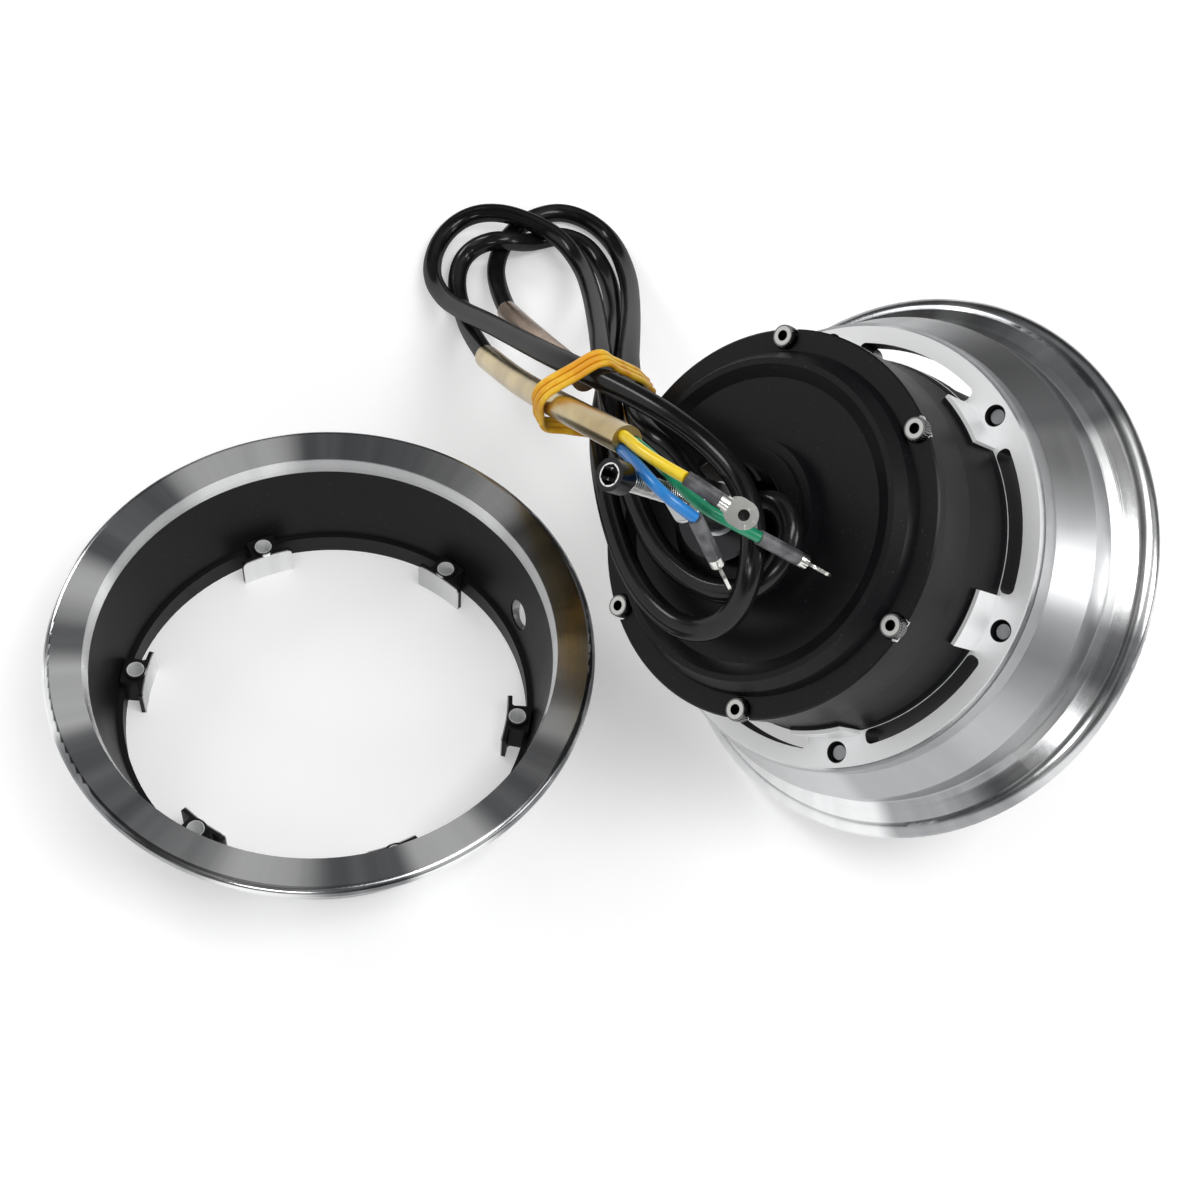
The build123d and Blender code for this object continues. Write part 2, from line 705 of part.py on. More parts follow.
with BuildPart() as flux_ring:
    ring_reach = magnet_length / 2.0 + flux_ring_over
    revolve(band(shell_bore - flux_ring_wall, shell_bore, middle - ring_reach, middle + ring_reach), axis=spin)
flux_ring.part.label = "flux_ring"
export_step(flux_ring.part, "parts/flux_ring.step")

with BuildPart() as magnets:
    with BuildSketch(motor.offset(middle - magnet_length / 2.0)):
        with PolarLocations(0, magnet_count):
            add(sector(magnet_radius, shell_bore - flux_ring_wall, half_angle_of(magnet_width, magnet_radius)))
    extrude(amount=magnet_length)
magnets.part.label = "magnets"
export_step(magnets.part, "parts/magnets.step")

tip_foot = stator_radius - tooth_tip_wall

with BuildPart() as stator_core:
    with BuildSketch(motor.offset(stator_low)):
        Circle(tooth_foot)
        with PolarLocations((tooth_foot + tip_foot) / 2.0, tooth_count):
            Rectangle(tip_foot - tooth_foot + tooth_tip_wall, tooth_width)
        with PolarLocations(0, tooth_count):
            add(sector(tip_foot, stator_radius, half_angle_of(tooth_tip_width, stator_radius)))
        Circle(stator_bore, mode=Mode.SUBTRACT)
    extrude(amount=stator_length)
stator_core.part.label = "stator_core"
export_step(stator_core.part, "parts/stator_core.step")

with BuildPart() as windings:
    coil_low = tooth_foot + coil_gap
    coil_high = tip_foot - coil_gap
    coil_plane = Plane(
        origin=motor.origin + motor.z_dir * middle + motor.x_dir * coil_low,
        x_dir=motor.y_dir,
        z_dir=motor.x_dir,
    )
    with BuildPart() as coil:
        with BuildSketch(coil_plane):
            RectangleRounded(tooth_width + 2 * coil_wall, stator_length + 2 * coil_overhang, coil_wall)
            Rectangle(tooth_width, stator_length, mode=Mode.SUBTRACT)
        extrude(amount=coil_high - coil_low)
    add([coil.part.rotate(spin, step * 360.0 / tooth_count) for step in range(tooth_count)], mode=Mode.REPLACE)
windings.part.label = "windings"
export_step(windings.part, "parts/windings.step")

with BuildPart() as stator_carrier:
    revolve(band(axle_middle_radius, carrier_hub_radius, stator_low, stator_high), axis=spin)
    revolve(band(stator_bore - carrier_wall, stator_bore, stator_low, stator_high), axis=spin)
    web_low = middle - carrier_web / 2.0
    revolve(band(carrier_hub_radius, stator_bore - carrier_wall, web_low, web_low + carrier_web), axis=spin)
    web_circle = (carrier_hub_radius + stator_bore - carrier_wall) / 2.0
    carrier_hole_radius = carrier_hole_share * (stator_bore - carrier_wall - carrier_hub_radius) / 2.0
    carrier_spots = round_spots(web_low, web_circle, carrier_holes, carrier_hole_radius, 0)
    extrude(carrier_spots, amount=carrier_web, mode=Mode.SUBTRACT)
stator_carrier.part.label = "stator_carrier"
export_step(stator_carrier.part, "parts/stator_carrier.step")

with BuildPart() as hall_board:
    board_inner = stator_bore - carrier_wall
    with BuildSketch(motor.offset(stator_high)):
        add(sector(board_inner, board_inner + board_width, board_angle / 2.0, board_corner))
    extrude(amount=board_thickness)
hall_board.part.label = "hall_board"
export_step(hall_board.part, "parts/hall_board.step")

journal_front = collar_high + collar_over


def port(height, turn, radius):
    """A round face across a line that leaves the motor's axis at a height and an angle."""
    away = motor.x_dir.rotate(Axis((0, 0, 0), motor.z_dir), turn)
    with BuildSketch(Plane(origin=motor.origin + motor.z_dir * height, x_dir=motor.z_dir, z_dir=away)) as face:
        Circle(radius)
    return face.sketch


journal_rear = disc_face - disc_register_rise - journal_over

with BuildPart() as axle:
    shaft = [
        (0, -axle_back),
        (axle_end_radius, -axle_back),
        (axle_end_radius, -axle_back + axle_flat_length),
        (axle_seat_radius, -axle_back + axle_flat_length),
        (axle_seat_radius, journal_rear),
        (bearing_bore, journal_rear),
        (bearing_bore, rear_bearing_high),
        (axle_middle_radius, rear_bearing_high),
        (axle_middle_radius, front_bearing_low),
        (bearing_bore, front_bearing_low),
        (bearing_bore, journal_front),
        (axle_end_radius, journal_front),
        (axle_end_radius, axle_front),
        (0, axle_front),
    ]
    revolve(outline(shaft), axis=spin)
    rims = axle.edges().filter_by(GeomType.CIRCLE).sort_by(spin)
    fillet([rims[0], rims[-1]], axle_round)
    for end, way in ((axle_front, -1), (-axle_back, 1)):
        with BuildSketch(motor.offset(end)):
            with Locations((0, axle_flat_width), (0, -axle_flat_width)):
                Rectangle(4 * axle_end_radius, axle_flat_width)
        extrude(amount=way * axle_flat_length, mode=Mode.SUBTRACT)
        with BuildSketch(motor.offset(end)):
            Circle(end_bolt_radius)
        extrude(amount=way * end_bolt_in, mode=Mode.SUBTRACT)
    with BuildSketch(motor.offset(inlet_height - cable_bore)):
        Circle(cable_bore)
    extrude(amount=outlet_height - inlet_height + 2 * cable_bore, mode=Mode.SUBTRACT)
    extrude(port(inlet_height, inlet_turn, cable_bore), amount=2 * axle_middle_radius, mode=Mode.SUBTRACT)
    extrude(port(outlet_height, power_turn, outlet_radius), amount=2 * axle_middle_radius, mode=Mode.SUBTRACT)
    extrude(port(outlet_height, signal_turn, outlet_radius), amount=2 * axle_middle_radius, mode=Mode.SUBTRACT)
axle.part.label = "axle"
export_step(axle.part, "parts/axle.step")

with BuildPart() as front_end_bolt:
    add(socket_screw(axle_front + end_bolt_out, -1, end_bolt_radius, end_bolt_head_radius, end_bolt_head_height,
                     end_bolt_out + end_bolt_in, end_bolt_socket))
front_end_bolt.part.label = "front_end_bolt"
export_step(front_end_bolt.part, "parts/front_end_bolt.step")

with BuildPart() as rear_end_bolt:
    add(socket_screw(-axle_back - end_bolt_out, 1, end_bolt_radius, end_bolt_head_radius, end_bolt_head_height,
                     end_bolt_out + end_bolt_in, end_bolt_socket))
rear_end_bolt.part.label = "rear_end_bolt"
export_step(rear_end_bolt.part, "parts/rear_end_bolt.step")

with BuildPart() as axle_leads:
    with BuildSketch(motor.offset(inlet_height)):
        Circle(cable_radius)
    extrude(amount=outlet_height - inlet_height)
    extrude(port(inlet_height, inlet_turn, cable_radius), amount=axle_middle_radius)
    extrude(port(outlet_height, power_turn, cable_radius), amount=cable_bore)
    extrude(port(outlet_height, signal_turn, cable_radius), amount=cable_bore)
axle_leads.part.label = "axle_leads"
export_step(axle_leads.part, "parts/axle_leads.step")

with BuildPart() as cable_grommets:
    for turn in (power_turn, signal_turn):
        extrude(port(outlet_height, turn, outlet_radius), amount=bearing_bore)
    revolve(band(0, grommet_core, inlet_height, collar_high), axis=spin, mode=Mode.SUBTRACT)
    add(axle_leads.part, mode=Mode.SUBTRACT)
cable_grommets.part.label = "cable_grommets"
export_step(cable_grommets.part, "parts/cable_grommets.step")

with BuildPart() as cable_collar:
    collar_face = [
        (bearing_bore, collar_low),
        (collar_radius - collar_chamfer, collar_low),
        (collar_radius, collar_low + collar_chamfer),
        (collar_radius, collar_high - collar_chamfer),
        (collar_radius - collar_chamfer, collar_high),
        (bearing_bore, collar_high),
    ]
    revolve(outline(collar_face), axis=spin)
    notch = [
        (bearing_bore - collar_notch_over, -collar_notch),
        (collar_radius + collar_notch_over, -collar_notch - collar_notch_flare),
        (collar_radius + collar_notch_over, collar_notch + collar_notch_flare),
        (bearing_bore - collar_notch_over, collar_notch),
    ]
    for turn in (power_turn, signal_turn):
        notch_floor = Plane(
            origin=motor.origin + motor.z_dir * (outlet_height - cable_radius - collar_floor),
            x_dir=motor.x_dir.rotate(Axis((0, 0, 0), motor.z_dir), turn),
            z_dir=motor.z_dir,
        )
        extrude(outline(notch, notch_floor), amount=collar_radius, mode=Mode.SUBTRACT)
    add(cable_grommets.part, mode=Mode.SUBTRACT)
cable_collar.part.label = "cable_collar"
export_step(cable_collar.part, "parts/cable_collar.step")


def placed(points):
    """Hand-chosen points, moved to where the ground plane lies."""
    return [ground.from_local_coords(Vector(*point)) for point in points]


def sharpest(points):
    """The corner radius at each inner point: as wide as the shorter run beside it allows."""
    radii = []
    for before, corner, after in zip(points, points[1:], points[2:]):
        turn = (corner - before).get_angle(after - corner)
        run = min((corner - before).length, (after - corner).length)
        radii.append(corner_share * run / math.tan(math.radians(turn / 2.0)))
    return radii


def tube(points, radius):
    """A round cord through points, its corners rounded."""
    with BuildPart() as cord:
        with BuildLine() as path:
            if len(points) > 2:
                FilletPolyline(*points, radius=sharpest(points))
            else:
                Line(*points)
        with BuildSketch(Plane(origin=points[0], z_dir=points[1] - points[0])):
            Circle(radius)
        sweep(path=path.line)
    return cord.part


def into(points, sleeve, depth):
    """Points of a cord that ends a little way inside the start of a sleeve."""
    along = (sleeve[1] - sleeve[0]).normalized()
    return points + [sleeve[0] + along * depth]


def out_of(points, sleeve, depth):
    """Points of a wire that starts a little way inside the end of a sleeve."""
    along = (sleeve[-1] - sleeve[-2]).normalized()
    return [points[0] - along * depth] + points


def ring_terminal(points, facing):
    """A crimped ring terminal on the end of a tube: barrel, flat ring and hole."""
    along = (points[-1] - points[-2]).normalized()
    side = along.cross(facing).normalized()
    flat = Plane(origin=points[-1], x_dir=along, z_dir=side.cross(along))
    with BuildPart() as crimped:
        with BuildSketch(Plane(origin=points[-1], z_dir=along)):
            Circle(terminal_barrel_radius)
        extrude(amount=terminal_barrel)
        with BuildSketch(flat):
            with Locations((terminal_reach, 0)):
                SlotCenterToCenter(terminal_stretch, 2 * terminal_ring_radius)
            with Locations((terminal_reach / 2.0 + terminal_barrel / 4.0, 0)):
                Rectangle(terminal_reach - terminal_barrel / 2.0, terminal_neck)
            with Locations((terminal_reach + terminal_stretch / 2.0, 0)):
                Circle(terminal_hole, mode=Mode.SUBTRACT)
        extrude(amount=terminal_thickness / 2.0, both=True)
    return crimped.part


power_points = placed(power_route)
power_sleeve_points = placed(power_sleeve_route)
signal_points = placed(signal_route)
signal_sleeve_points = placed(signal_sleeve_route)
yellow_points = out_of(placed(yellow_route), power_sleeve_points, into_sleeve)
blue_points = out_of(placed(blue_route), power_sleeve_points, into_sleeve)
green_points = out_of(placed(green_route), power_sleeve_points, into_sleeve)
yellow_shrink_points = placed(yellow_shrink_route)
blue_shrink_points = placed(blue_shrink_route)
green_shrink_points = placed(green_shrink_route)

with BuildPart() as power_cable:
    add(tube(into(power_points, power_sleeve_points, into_sleeve), cable_radius))
power_cable.part.label = "power_cable"
export_step(power_cable.part, "parts/power_cable.step")

with BuildPart() as signal_cable:
    add(tube(into(signal_points, signal_sleeve_points, into_sleeve), cable_radius))
signal_cable.part.label = "signal_cable"
export_step(signal_cable.part, "parts/signal_cable.step")

with BuildPart() as yellow_wire:
    add(tube(yellow_points, wire_radius))
yellow_wire.part.label = "yellow_wire"
export_step(yellow_wire.part, "parts/yellow_wire.step")

with BuildPart() as blue_wire:
    add(tube(blue_points, wire_radius))
blue_wire.part.label = "blue_wire"
export_step(blue_wire.part, "parts/blue_wire.step")

with BuildPart() as green_wire:
    add(tube(green_points, wire_radius))
green_wire.part.label = "green_wire"
export_step(green_wire.part, "parts/green_wire.step")

with BuildPart() as power_sleeve:
    add(tube(power_sleeve_points, power_sleeve_radius))
    add([power_cable.part, yellow_wire.part, blue_wire.part, green_wire.part], mode=Mode.SUBTRACT)
power_sleeve.part.label = "power_sleeve"
export_step(power_sleeve.part, "parts/power_sleeve.step")

with BuildPart() as signal_sleeve:
    add(tube(signal_sleeve_points, signal_sleeve_radius))
    add(signal_cable.part, mode=Mode.SUBTRACT)
signal_sleeve.part.label = "signal_sleeve"
export_step(signal_sleeve.part, "parts/signal_sleeve.step")

with BuildPart() as wire_shrinks:
    add([
        tube(yellow_shrink_points, shrink_radius),
        tube(blue_shrink_points, shrink_radius),
        tube(green_shrink_points, shrink_radius),
    ])
    add([yellow_wire.part, blue_wire.part, green_wire.part], mode=Mode.SUBTRACT)
wire_shrinks.part.label = "wire_shrinks"
export_step(wire_shrinks.part, "parts/wire_shrinks.step")

with BuildPart() as ring_terminals:
    reader = Vector(*towards_reader)
    blue_along = blue_shrink_points[-1] - blue_shrink_points[-2]
    green_along = green_shrink_points[-1] - green_shrink_points[-2]
    add([
        ring_terminal(yellow_shrink_points, reader),
        ring_terminal(blue_shrink_points, blue_along.cross(reader)),
        ring_terminal(green_shrink_points, green_along.cross(reader)),
    ])
ring_terminals.part.label = "ring_terminals"
export_step(ring_terminals.part, "parts/ring_terminals.step")

with BuildPart() as rubber_band:
    band_origin = ground.from_local_coords(Vector(*band_middle))
    band_plane = Plane(origin=band_origin, x_dir=band_across, z_dir=band_normal)
    for strand in range(band_strands):
        strand_plane = band_plane.offset((strand - (band_strands - 1) / 2.0) * band_pitch)
        with BuildLine(strand_plane) as loop:
            Spline(*band_outline, periodic=True)
        with BuildSketch(Plane(origin=loop.line @ 0, z_dir=loop.line % 0)):
            Circle(band_strand_radius)
        sweep(path=loop.line)
rubber_band.part.label = "rubber_band"
export_step(rubber_band.part, "parts/rubber_band.step")

for name, points in (
    ("power cable", power_points),
    ("signal cable", signal_points),
    ("power sleeve", power_sleeve_points),
    ("signal sleeve", signal_sleeve_points),
    ("yellow wire", yellow_points),
    ("blue wire", blue_points),
    ("green wire", green_points),
):
    length = sum((end - start).length for start, end in zip(points, points[1:]))
    radii = " ".join(f"{radius:.0f}" for radius in sharpest(points))
    print(f"{name}: about {length:.0f} mm long, bend radii in mm: {radii}")
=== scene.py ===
"""Electric scooter hub motor with a split rim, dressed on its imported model.

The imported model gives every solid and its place. This script makes the camera, the cables, the finishes,
the threads and the small details, and never moves a node. Everything is in metres in the row's frame.
"""

import json
import logging
import math
from dataclasses import dataclass
from enum import Enum
from itertools import permutations
from typing import Sequence

import bmesh
import bpy
from mathutils import Matrix, Vector

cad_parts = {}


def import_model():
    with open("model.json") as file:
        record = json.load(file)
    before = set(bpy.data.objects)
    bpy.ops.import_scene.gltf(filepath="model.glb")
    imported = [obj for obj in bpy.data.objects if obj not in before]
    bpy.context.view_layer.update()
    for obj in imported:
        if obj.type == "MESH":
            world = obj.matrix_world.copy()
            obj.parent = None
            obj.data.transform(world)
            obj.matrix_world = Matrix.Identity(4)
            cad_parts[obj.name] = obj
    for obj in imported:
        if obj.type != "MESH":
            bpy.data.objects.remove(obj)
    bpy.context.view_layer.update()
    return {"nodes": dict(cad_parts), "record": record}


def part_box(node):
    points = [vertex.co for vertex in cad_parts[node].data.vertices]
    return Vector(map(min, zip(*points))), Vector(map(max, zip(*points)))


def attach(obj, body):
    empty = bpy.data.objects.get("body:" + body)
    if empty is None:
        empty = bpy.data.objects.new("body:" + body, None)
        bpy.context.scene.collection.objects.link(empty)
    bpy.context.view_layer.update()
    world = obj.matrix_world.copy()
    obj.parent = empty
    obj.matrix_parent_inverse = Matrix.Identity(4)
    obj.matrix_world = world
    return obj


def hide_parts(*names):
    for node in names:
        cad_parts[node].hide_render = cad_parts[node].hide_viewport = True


MM = 0.001
RIDGE_PER_PITCH = 0.26
RIB_PER_HEAD = 0.075
LOG = logging.getLogger("hub_motor")

Point = tuple[float, float, float]
Colour = tuple[float, float, float]
Socket = bpy.types.NodeSocket
Tree = bpy.types.NodeTree
Thing = bpy.types.Object


class Body(str, Enum):
    """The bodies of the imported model."""

    AXLE_SIDE = "axle_side"
    ROTOR = "rotor"


class FarEnd(str, Enum):
    """What a cord ends in."""

    FITTING = "fitting"


@dataclass(frozen=True)
class Turning:
    """A circle of features about an axis: radius of the circle, how many, where the first is, feature radius."""

    circle: float
    count: int
    turn: float
    radius: float


class Graph:
    """Short calls for building one node tree."""

    def __init__(self, tree: Tree) -> None:
        """Keep the tree that nodes go into.

        Args:
            tree: A shader or geometry node tree.
        """
        self.tree = tree

    def node(self, kind: str, **settings: object) -> bpy.types.Node:
        """Add a node.

        Args:
            kind: The node's type name.
            settings: Attributes to set on it.

        Returns:
            The new node.
        """
        made = self.tree.nodes.new(kind)
        for key, value in settings.items():
            setattr(made, key, value)
        return made

    def feed(self, target: Socket, value: object) -> None:
        """Link a socket to a target, or set the target's own value.

        Args:
            target: An input socket.
            value: An output socket, a number, a vector, or a colour as red, green and blue.
        """
        if isinstance(value, Socket):
            self.tree.links.new(value, target)
        else:
            target.default_value = (*value, 1.0) if target.type == "RGBA" else value

    def math(self, operation: str, *values: object, use_clamp: bool = False) -> Socket:
        """Add a Math node.

        Args:
            operation: The node's operation.
            values: Sockets or numbers for its inputs.
            use_clamp: Whether the result is kept from 0 to 1.

        Returns:
            The node's output.
        """
        made = self.node("ShaderNodeMath", operation=operation, use_clamp=use_clamp)
        for target, value in zip(made.inputs, values):
            self.feed(target, value)
        return made.outputs[0]

    def product(self, first: object, *others: object) -> Socket:
        """Multiply numbers.

        Args:
            first: The first of them.
            others: The rest.

        Returns:
            The product.
        """
        for other in others:
            first = self.math("MULTIPLY", first, other)
        return first

    def apart(self, vector: Socket) -> list[Socket]:
        """Take a vector apart.

        Args:
            vector: The vector.

        Returns:
            Its x, y and z.
        """
        made = self.node("ShaderNodeSeparateXYZ")
        self.feed(made.inputs[0], vector)
        return list(made.outputs)

    def vector(self, *values: object) -> Socket:
        """Join numbers into a vector.

        Args:
            values: Its x and y, and its z if that isn't 0.

        Returns:
            The vector.
        """
        made = self.node("ShaderNodeCombineXYZ")
        for target, value in zip(made.inputs, values):
            self.feed(target, value)
        return made.outputs[0]

    def length(self, x: Socket, y: Socket) -> Socket:
        """The length of a flat vector.

        Args:
            x: Its first part.
            y: Its second part.

        Returns:
            Its length.
        """
        return self.math("SQRT", self.math("ADD", self.product(x, x), self.product(y, y)))

    def ramp(self, value: object, low: float, high: float, start: float = 0.0, end: float = 1.0) -> Socket:
        """Turn a value into a smooth step between two limits.

        Args:
            value: The value to read.
            low: Where the step starts.
            high: Where the step ends.
            start: Result at and before low.
            end: Result at and after high.

        Returns:
            The node's output.
        """
        made = self.node("ShaderNodeMapRange", interpolation_type="SMOOTHSTEP")
        for index, entry in enumerate((value, low, high, start, end)):
            self.feed(made.inputs[index], entry)
        return made.outputs[0]

    def blend(self, amount: object, first: object, second: object) -> Socket:
        """Mix two numbers.

        Args:
            amount: Share of the second, from 0 to 1.
            first: Result at 0.
            second: Result at 1.

        Returns:
            The mixed number.
        """
        made = self.node("ShaderNodeMix", data_type="FLOAT")
        self.feed(made.inputs[0], amount)
        self.feed(made.inputs[2], first)
        self.feed(made.inputs[3], second)
        return made.outputs[0]

    def tint(self, amount: object, first: object, second: object) -> Socket:
        """Mix two colours.

        Args:
            amount: Share of the second, from 0 to 1.
            first: Colour at 0.
            second: Colour at 1.

        Returns:
            The mixed colour.
        """
        made = self.node("ShaderNodeMix", data_type="RGBA")
        self.feed(made.inputs[0], amount)
        self.feed(made.inputs[6], first)
        self.feed(made.inputs[7], second)
        return made.outputs[2]

    def noise(self, vector: Socket, scale: float, detail: float = 2.0) -> Socket:
        """Add a noise texture.

        Args:
            vector: Where to read it.
            scale: Its scale.
            detail: Its levels of detail.

        Returns:
            Its value, from 0 to 1.
        """
        made = self.node("ShaderNodeTexNoise")
        self.feed(made.inputs["Vector"], vector)
        made.inputs["Scale"].default_value = scale
        made.inputs["Detail"].default_value = detail
        return made.outputs[0]


class Groups:
    """Shader node groups that more than one finish uses."""

    def __init__(self) -> None:
        """Build each group once."""
        self.turned = self._turned_lines()
        self.spots = self._spots()
        self.wear = self._surface_wear()
        self.fans = self._painted_reflection_fans()

    @staticmethod
    def _new(name: str, inputs: Sequence[str], outputs: Sequence[str]) -> tuple[Graph, dict, dict]:
        """Start a group that reads its pattern at an input named Vector.

        Args:
            name: The group's name.
            inputs: Names of its number inputs.
            outputs: Names of its number outputs.

        Returns:
            Its graph, its inputs and its outputs, both by name.
        """
        tree = bpy.data.node_groups.new(name, "ShaderNodeTree")
        tree.interface.new_socket(name="Vector", in_out="INPUT", socket_type="NodeSocketVector")
        for way, labels in (("INPUT", inputs), ("OUTPUT", outputs)):
            for label in labels:
                tree.interface.new_socket(name=label, in_out=way, socket_type="NodeSocketFloat")
        graph = Graph(tree)
        start = graph.node("NodeGroupInput")
        end = graph.node("NodeGroupOutput")
        return graph, {s.name: s for s in start.outputs}, {s.name: s for s in end.inputs}

    def _turned_lines(self) -> Tree:
        """Fine lines round an axis, as a lathe leaves them, on coordinates about that axis."""
        graph, given, result = self._new("turned_lines", ["Pitch"], ["Line", "Radius", "Height"])
        x, y, height = graph.apart(given["Vector"])
        radius = graph.length(x, y)
        flat = graph.vector(graph.math("DIVIDE", radius, given["Pitch"]), graph.math("DIVIDE", height, given["Pitch"]))
        graph.feed(result["Line"], graph.noise(flat, 1.0, 3.0))
        graph.feed(result["Radius"], radius)
        graph.feed(result["Height"], height)
        return graph.tree

    def _spots(self) -> Tree:
        """A mask of round spots spaced evenly on a circle about an axis."""
        graph, given, result = self._new("spots_on_a_circle", ["Circle", "Count", "Turn", "Radius"], ["Mask"])
        x, y, _ = graph.apart(given["Vector"])
        angle = graph.math("SUBTRACT", graph.math("ARCTAN2", y, x), graph.math("RADIANS", given["Turn"]))
        step = graph.math("DIVIDE", 2.0 * math.pi, given["Count"])
        share = graph.math("DIVIDE", angle, step)
        local = graph.product(graph.math("SUBTRACT", share, graph.math("ROUND", share)), step)
        radius = graph.length(x, y)
        across = graph.math("SUBTRACT", graph.product(radius, graph.math("COSINE", local)), given["Circle"])
        along = graph.product(radius, graph.math("SINE", local))
        away = graph.math("DIVIDE", graph.length(across, along), given["Radius"])
        graph.feed(result["Mask"], graph.ramp(away, 0.97, 1.03, 1.0, 0.0))
        return graph.tree

    def _surface_wear(self) -> Tree:
        """Broad smudges and small specks, for colour and roughness."""
        graph, given, result = self._new("smudges_and_specks", [], ["Smudge", "Speck"])
        graph.feed(result["Smudge"], graph.noise(given["Vector"], 45.0, 4.0))
        graph.feed(result["Speck"], graph.ramp(graph.noise(given["Vector"], 900.0), 0.66, 0.74))
        return graph.tree

    def _painted_reflection_fans(self) -> Tree:
        """Wedges of lighter and darker colour round an axis: painted reflection, standing in for the bright and dark
        fans that circular polishing shows in light.
        """
        graph, given, result = self._new("painted_reflection_fans", ["Wedges", "Seed"], ["Fan"])
        x, y, _ = graph.apart(given["Vector"])
        angle = graph.math("ARCTAN2", y, x)
        around = graph.vector(graph.product(graph.math("COSINE", angle), given["Wedges"]),
                              graph.product(graph.math("SINE", angle), given["Wedges"]), given["Seed"])
        broad = graph.ramp(graph.noise(around, 1.0, 1.0), 0.44, 0.56)
        fine = graph.noise(around, 7.0)
        mixed = graph.math("MULTIPLY_ADD", fine, 0.30, graph.math("MULTIPLY_ADD", broad, 0.85, -0.07))
        graph.feed(result["Fan"], mixed)
        return graph.tree


@dataclass(frozen=True)
class Axis:
    """A turning axis: its origin, its own direction and the direction of angle 0."""

    origin: Vector
    along: Vector
    zero: Vector

    @property
    def side(self) -> Vector:
        """The direction of angle 90."""
        return self.along.cross(self.zero)

    @property
    def turn(self) -> Matrix:
        """The rotation from the row's frame to the axis's own."""
        return Matrix((self.zero, self.side, self.along)).transposed()

    def point(self, radius: float, angle: float, height: float) -> Vector:
        """A point about the axis.

        Args:
            radius: Distance from the axis, in metres.
            angle: Degrees from the zero direction.
            height: Distance along the axis from its origin.

        Returns:
            The point in the row's frame.
        """
        spoke = self.zero * math.cos(math.radians(angle)) + self.side * math.sin(math.radians(angle))
        return self.origin + spoke * radius + self.along * height


class Finish:
    """One material, with short calls for the textures that finishes share."""

    def __init__(self, name: str, groups: Groups, axis: Axis | None = None) -> None:
        """Start a material with one Principled BSDF.

        Args:
            name: The material's name.
            groups: The shared node groups.
            axis: The axis that its patterns turn about, if any.
        """
        self.material = bpy.data.materials.new(name)
        self.material.use_nodes = True
        self.graph = Graph(self.material.node_tree)
        self.groups = groups
        self.shader = self.material.node_tree.nodes["Principled BSDF"]
        coordinates = self.graph.node("ShaderNodeTexCoord")
        self.place = coordinates.outputs["Object"]
        if axis:
            mapping = self.graph.node("ShaderNodeMapping", vector_type="TEXTURE")
            mapping.inputs["Location"].default_value = axis.origin
            mapping.inputs["Rotation"].default_value = axis.turn.to_euler()
            self.graph.feed(mapping.inputs["Vector"], self.place)
            self.place = mapping.outputs[0]

    def plain(self, colour: Colour, metallic: float, roughness: float, coat: float = 0.0, specular: float = 0.5,
              coat_index: float = 1.5, coat_roughness: float = 0.08) -> None:
        """Set the values that are the same all over.

        Args:
            colour: Base colour.
            metallic: 0 or 1.
            roughness: From 0 to 1.
            coat: Weight of a clear coat.
            specular: Specular level of what isn't metal.
            coat_index: Refractive index of the coat.
            coat_roughness: Roughness of the coat.
        """
        for name, value in (("Base Color", colour), ("Metallic", metallic), ("Roughness", roughness),
                            ("Coat Weight", coat), ("Coat Roughness", coat_roughness), ("Coat IOR", coat_index),
                            ("Specular IOR Level", specular)):
            self.set(name, value)

    def half_painted(self, black: Socket, dull: Socket, colours: tuple[Socket, Socket],
                     roughness: tuple[Socket, Socket], lines: Socket) -> None:
        """Make turned metal that is painted black where a mask says so.

        Args:
            black: 1 where it is painted.
            dull: How much less metallic the bare metal is.
            colours: Of the bare metal and of the paint.
            roughness: Of the bare metal and of the paint.
            lines: The turned lines.
        """
        graph = self.graph
        self.plain((0.8, 0.8, 0.8), 1.0, 0.2, specular=0.05, coat_index=1.8, coat_roughness=0.34)
        self.set("Coat Weight", graph.product(black, 0.14))
        self.set("Base Color", graph.tint(black, *colours))
        self.set("Metallic", graph.math("SUBTRACT", graph.math("SUBTRACT", 1.0, black), dull))
        self.set("Roughness", graph.blend(black, *roughness))
        self.bump(lines, 0.10, 0.12 * MM)

    def group(self, tree: Tree, **values: object) -> dict[str, Socket]:
        """Place a shared group on the finish's coordinates.

        Args:
            tree: The group.
            values: Values for its other inputs.

        Returns:
            Its outputs by name.
        """
        made = self.graph.node("ShaderNodeGroup", node_tree=tree)
        self.graph.feed(made.inputs["Vector"], self.place)
        for key, value in values.items():
            self.graph.feed(made.inputs[key], value)
        return {socket.name: socket for socket in made.outputs}

    def spots(self, where: Turning) -> Socket:
        """Mask of round spots on a circle.

        Args:
            where: The circle and its spots.

        Returns:
            1 inside the spots and 0 outside.
        """
        return self.group(self.groups.spots, Circle=where.circle, Count=float(where.count), Turn=where.turn,
                          Radius=where.radius)["Mask"]

    def bump(self, height: Socket, strength: float, distance: float) -> None:
        """Feed a height to the normal.

        Args:
            height: The height to read.
            strength: Strength of the bump.
            distance: What a height of 1 stands for, in metres.
        """
        made = self.graph.node("ShaderNodeBump")
        made.inputs["Strength"].default_value = strength
        made.inputs["Distance"].default_value = distance
        self.graph.feed(made.inputs["Height"], height)
        self.graph.feed(self.shader.inputs["Normal"], made.outputs[0])

    def set(self, name: str, value: object) -> None:
        """Set or link one of the shader's inputs.

        Args:
            name: The input's name.
            value: A plain value, or a socket to link.
        """
        self.graph.feed(self.shader.inputs[name], value)


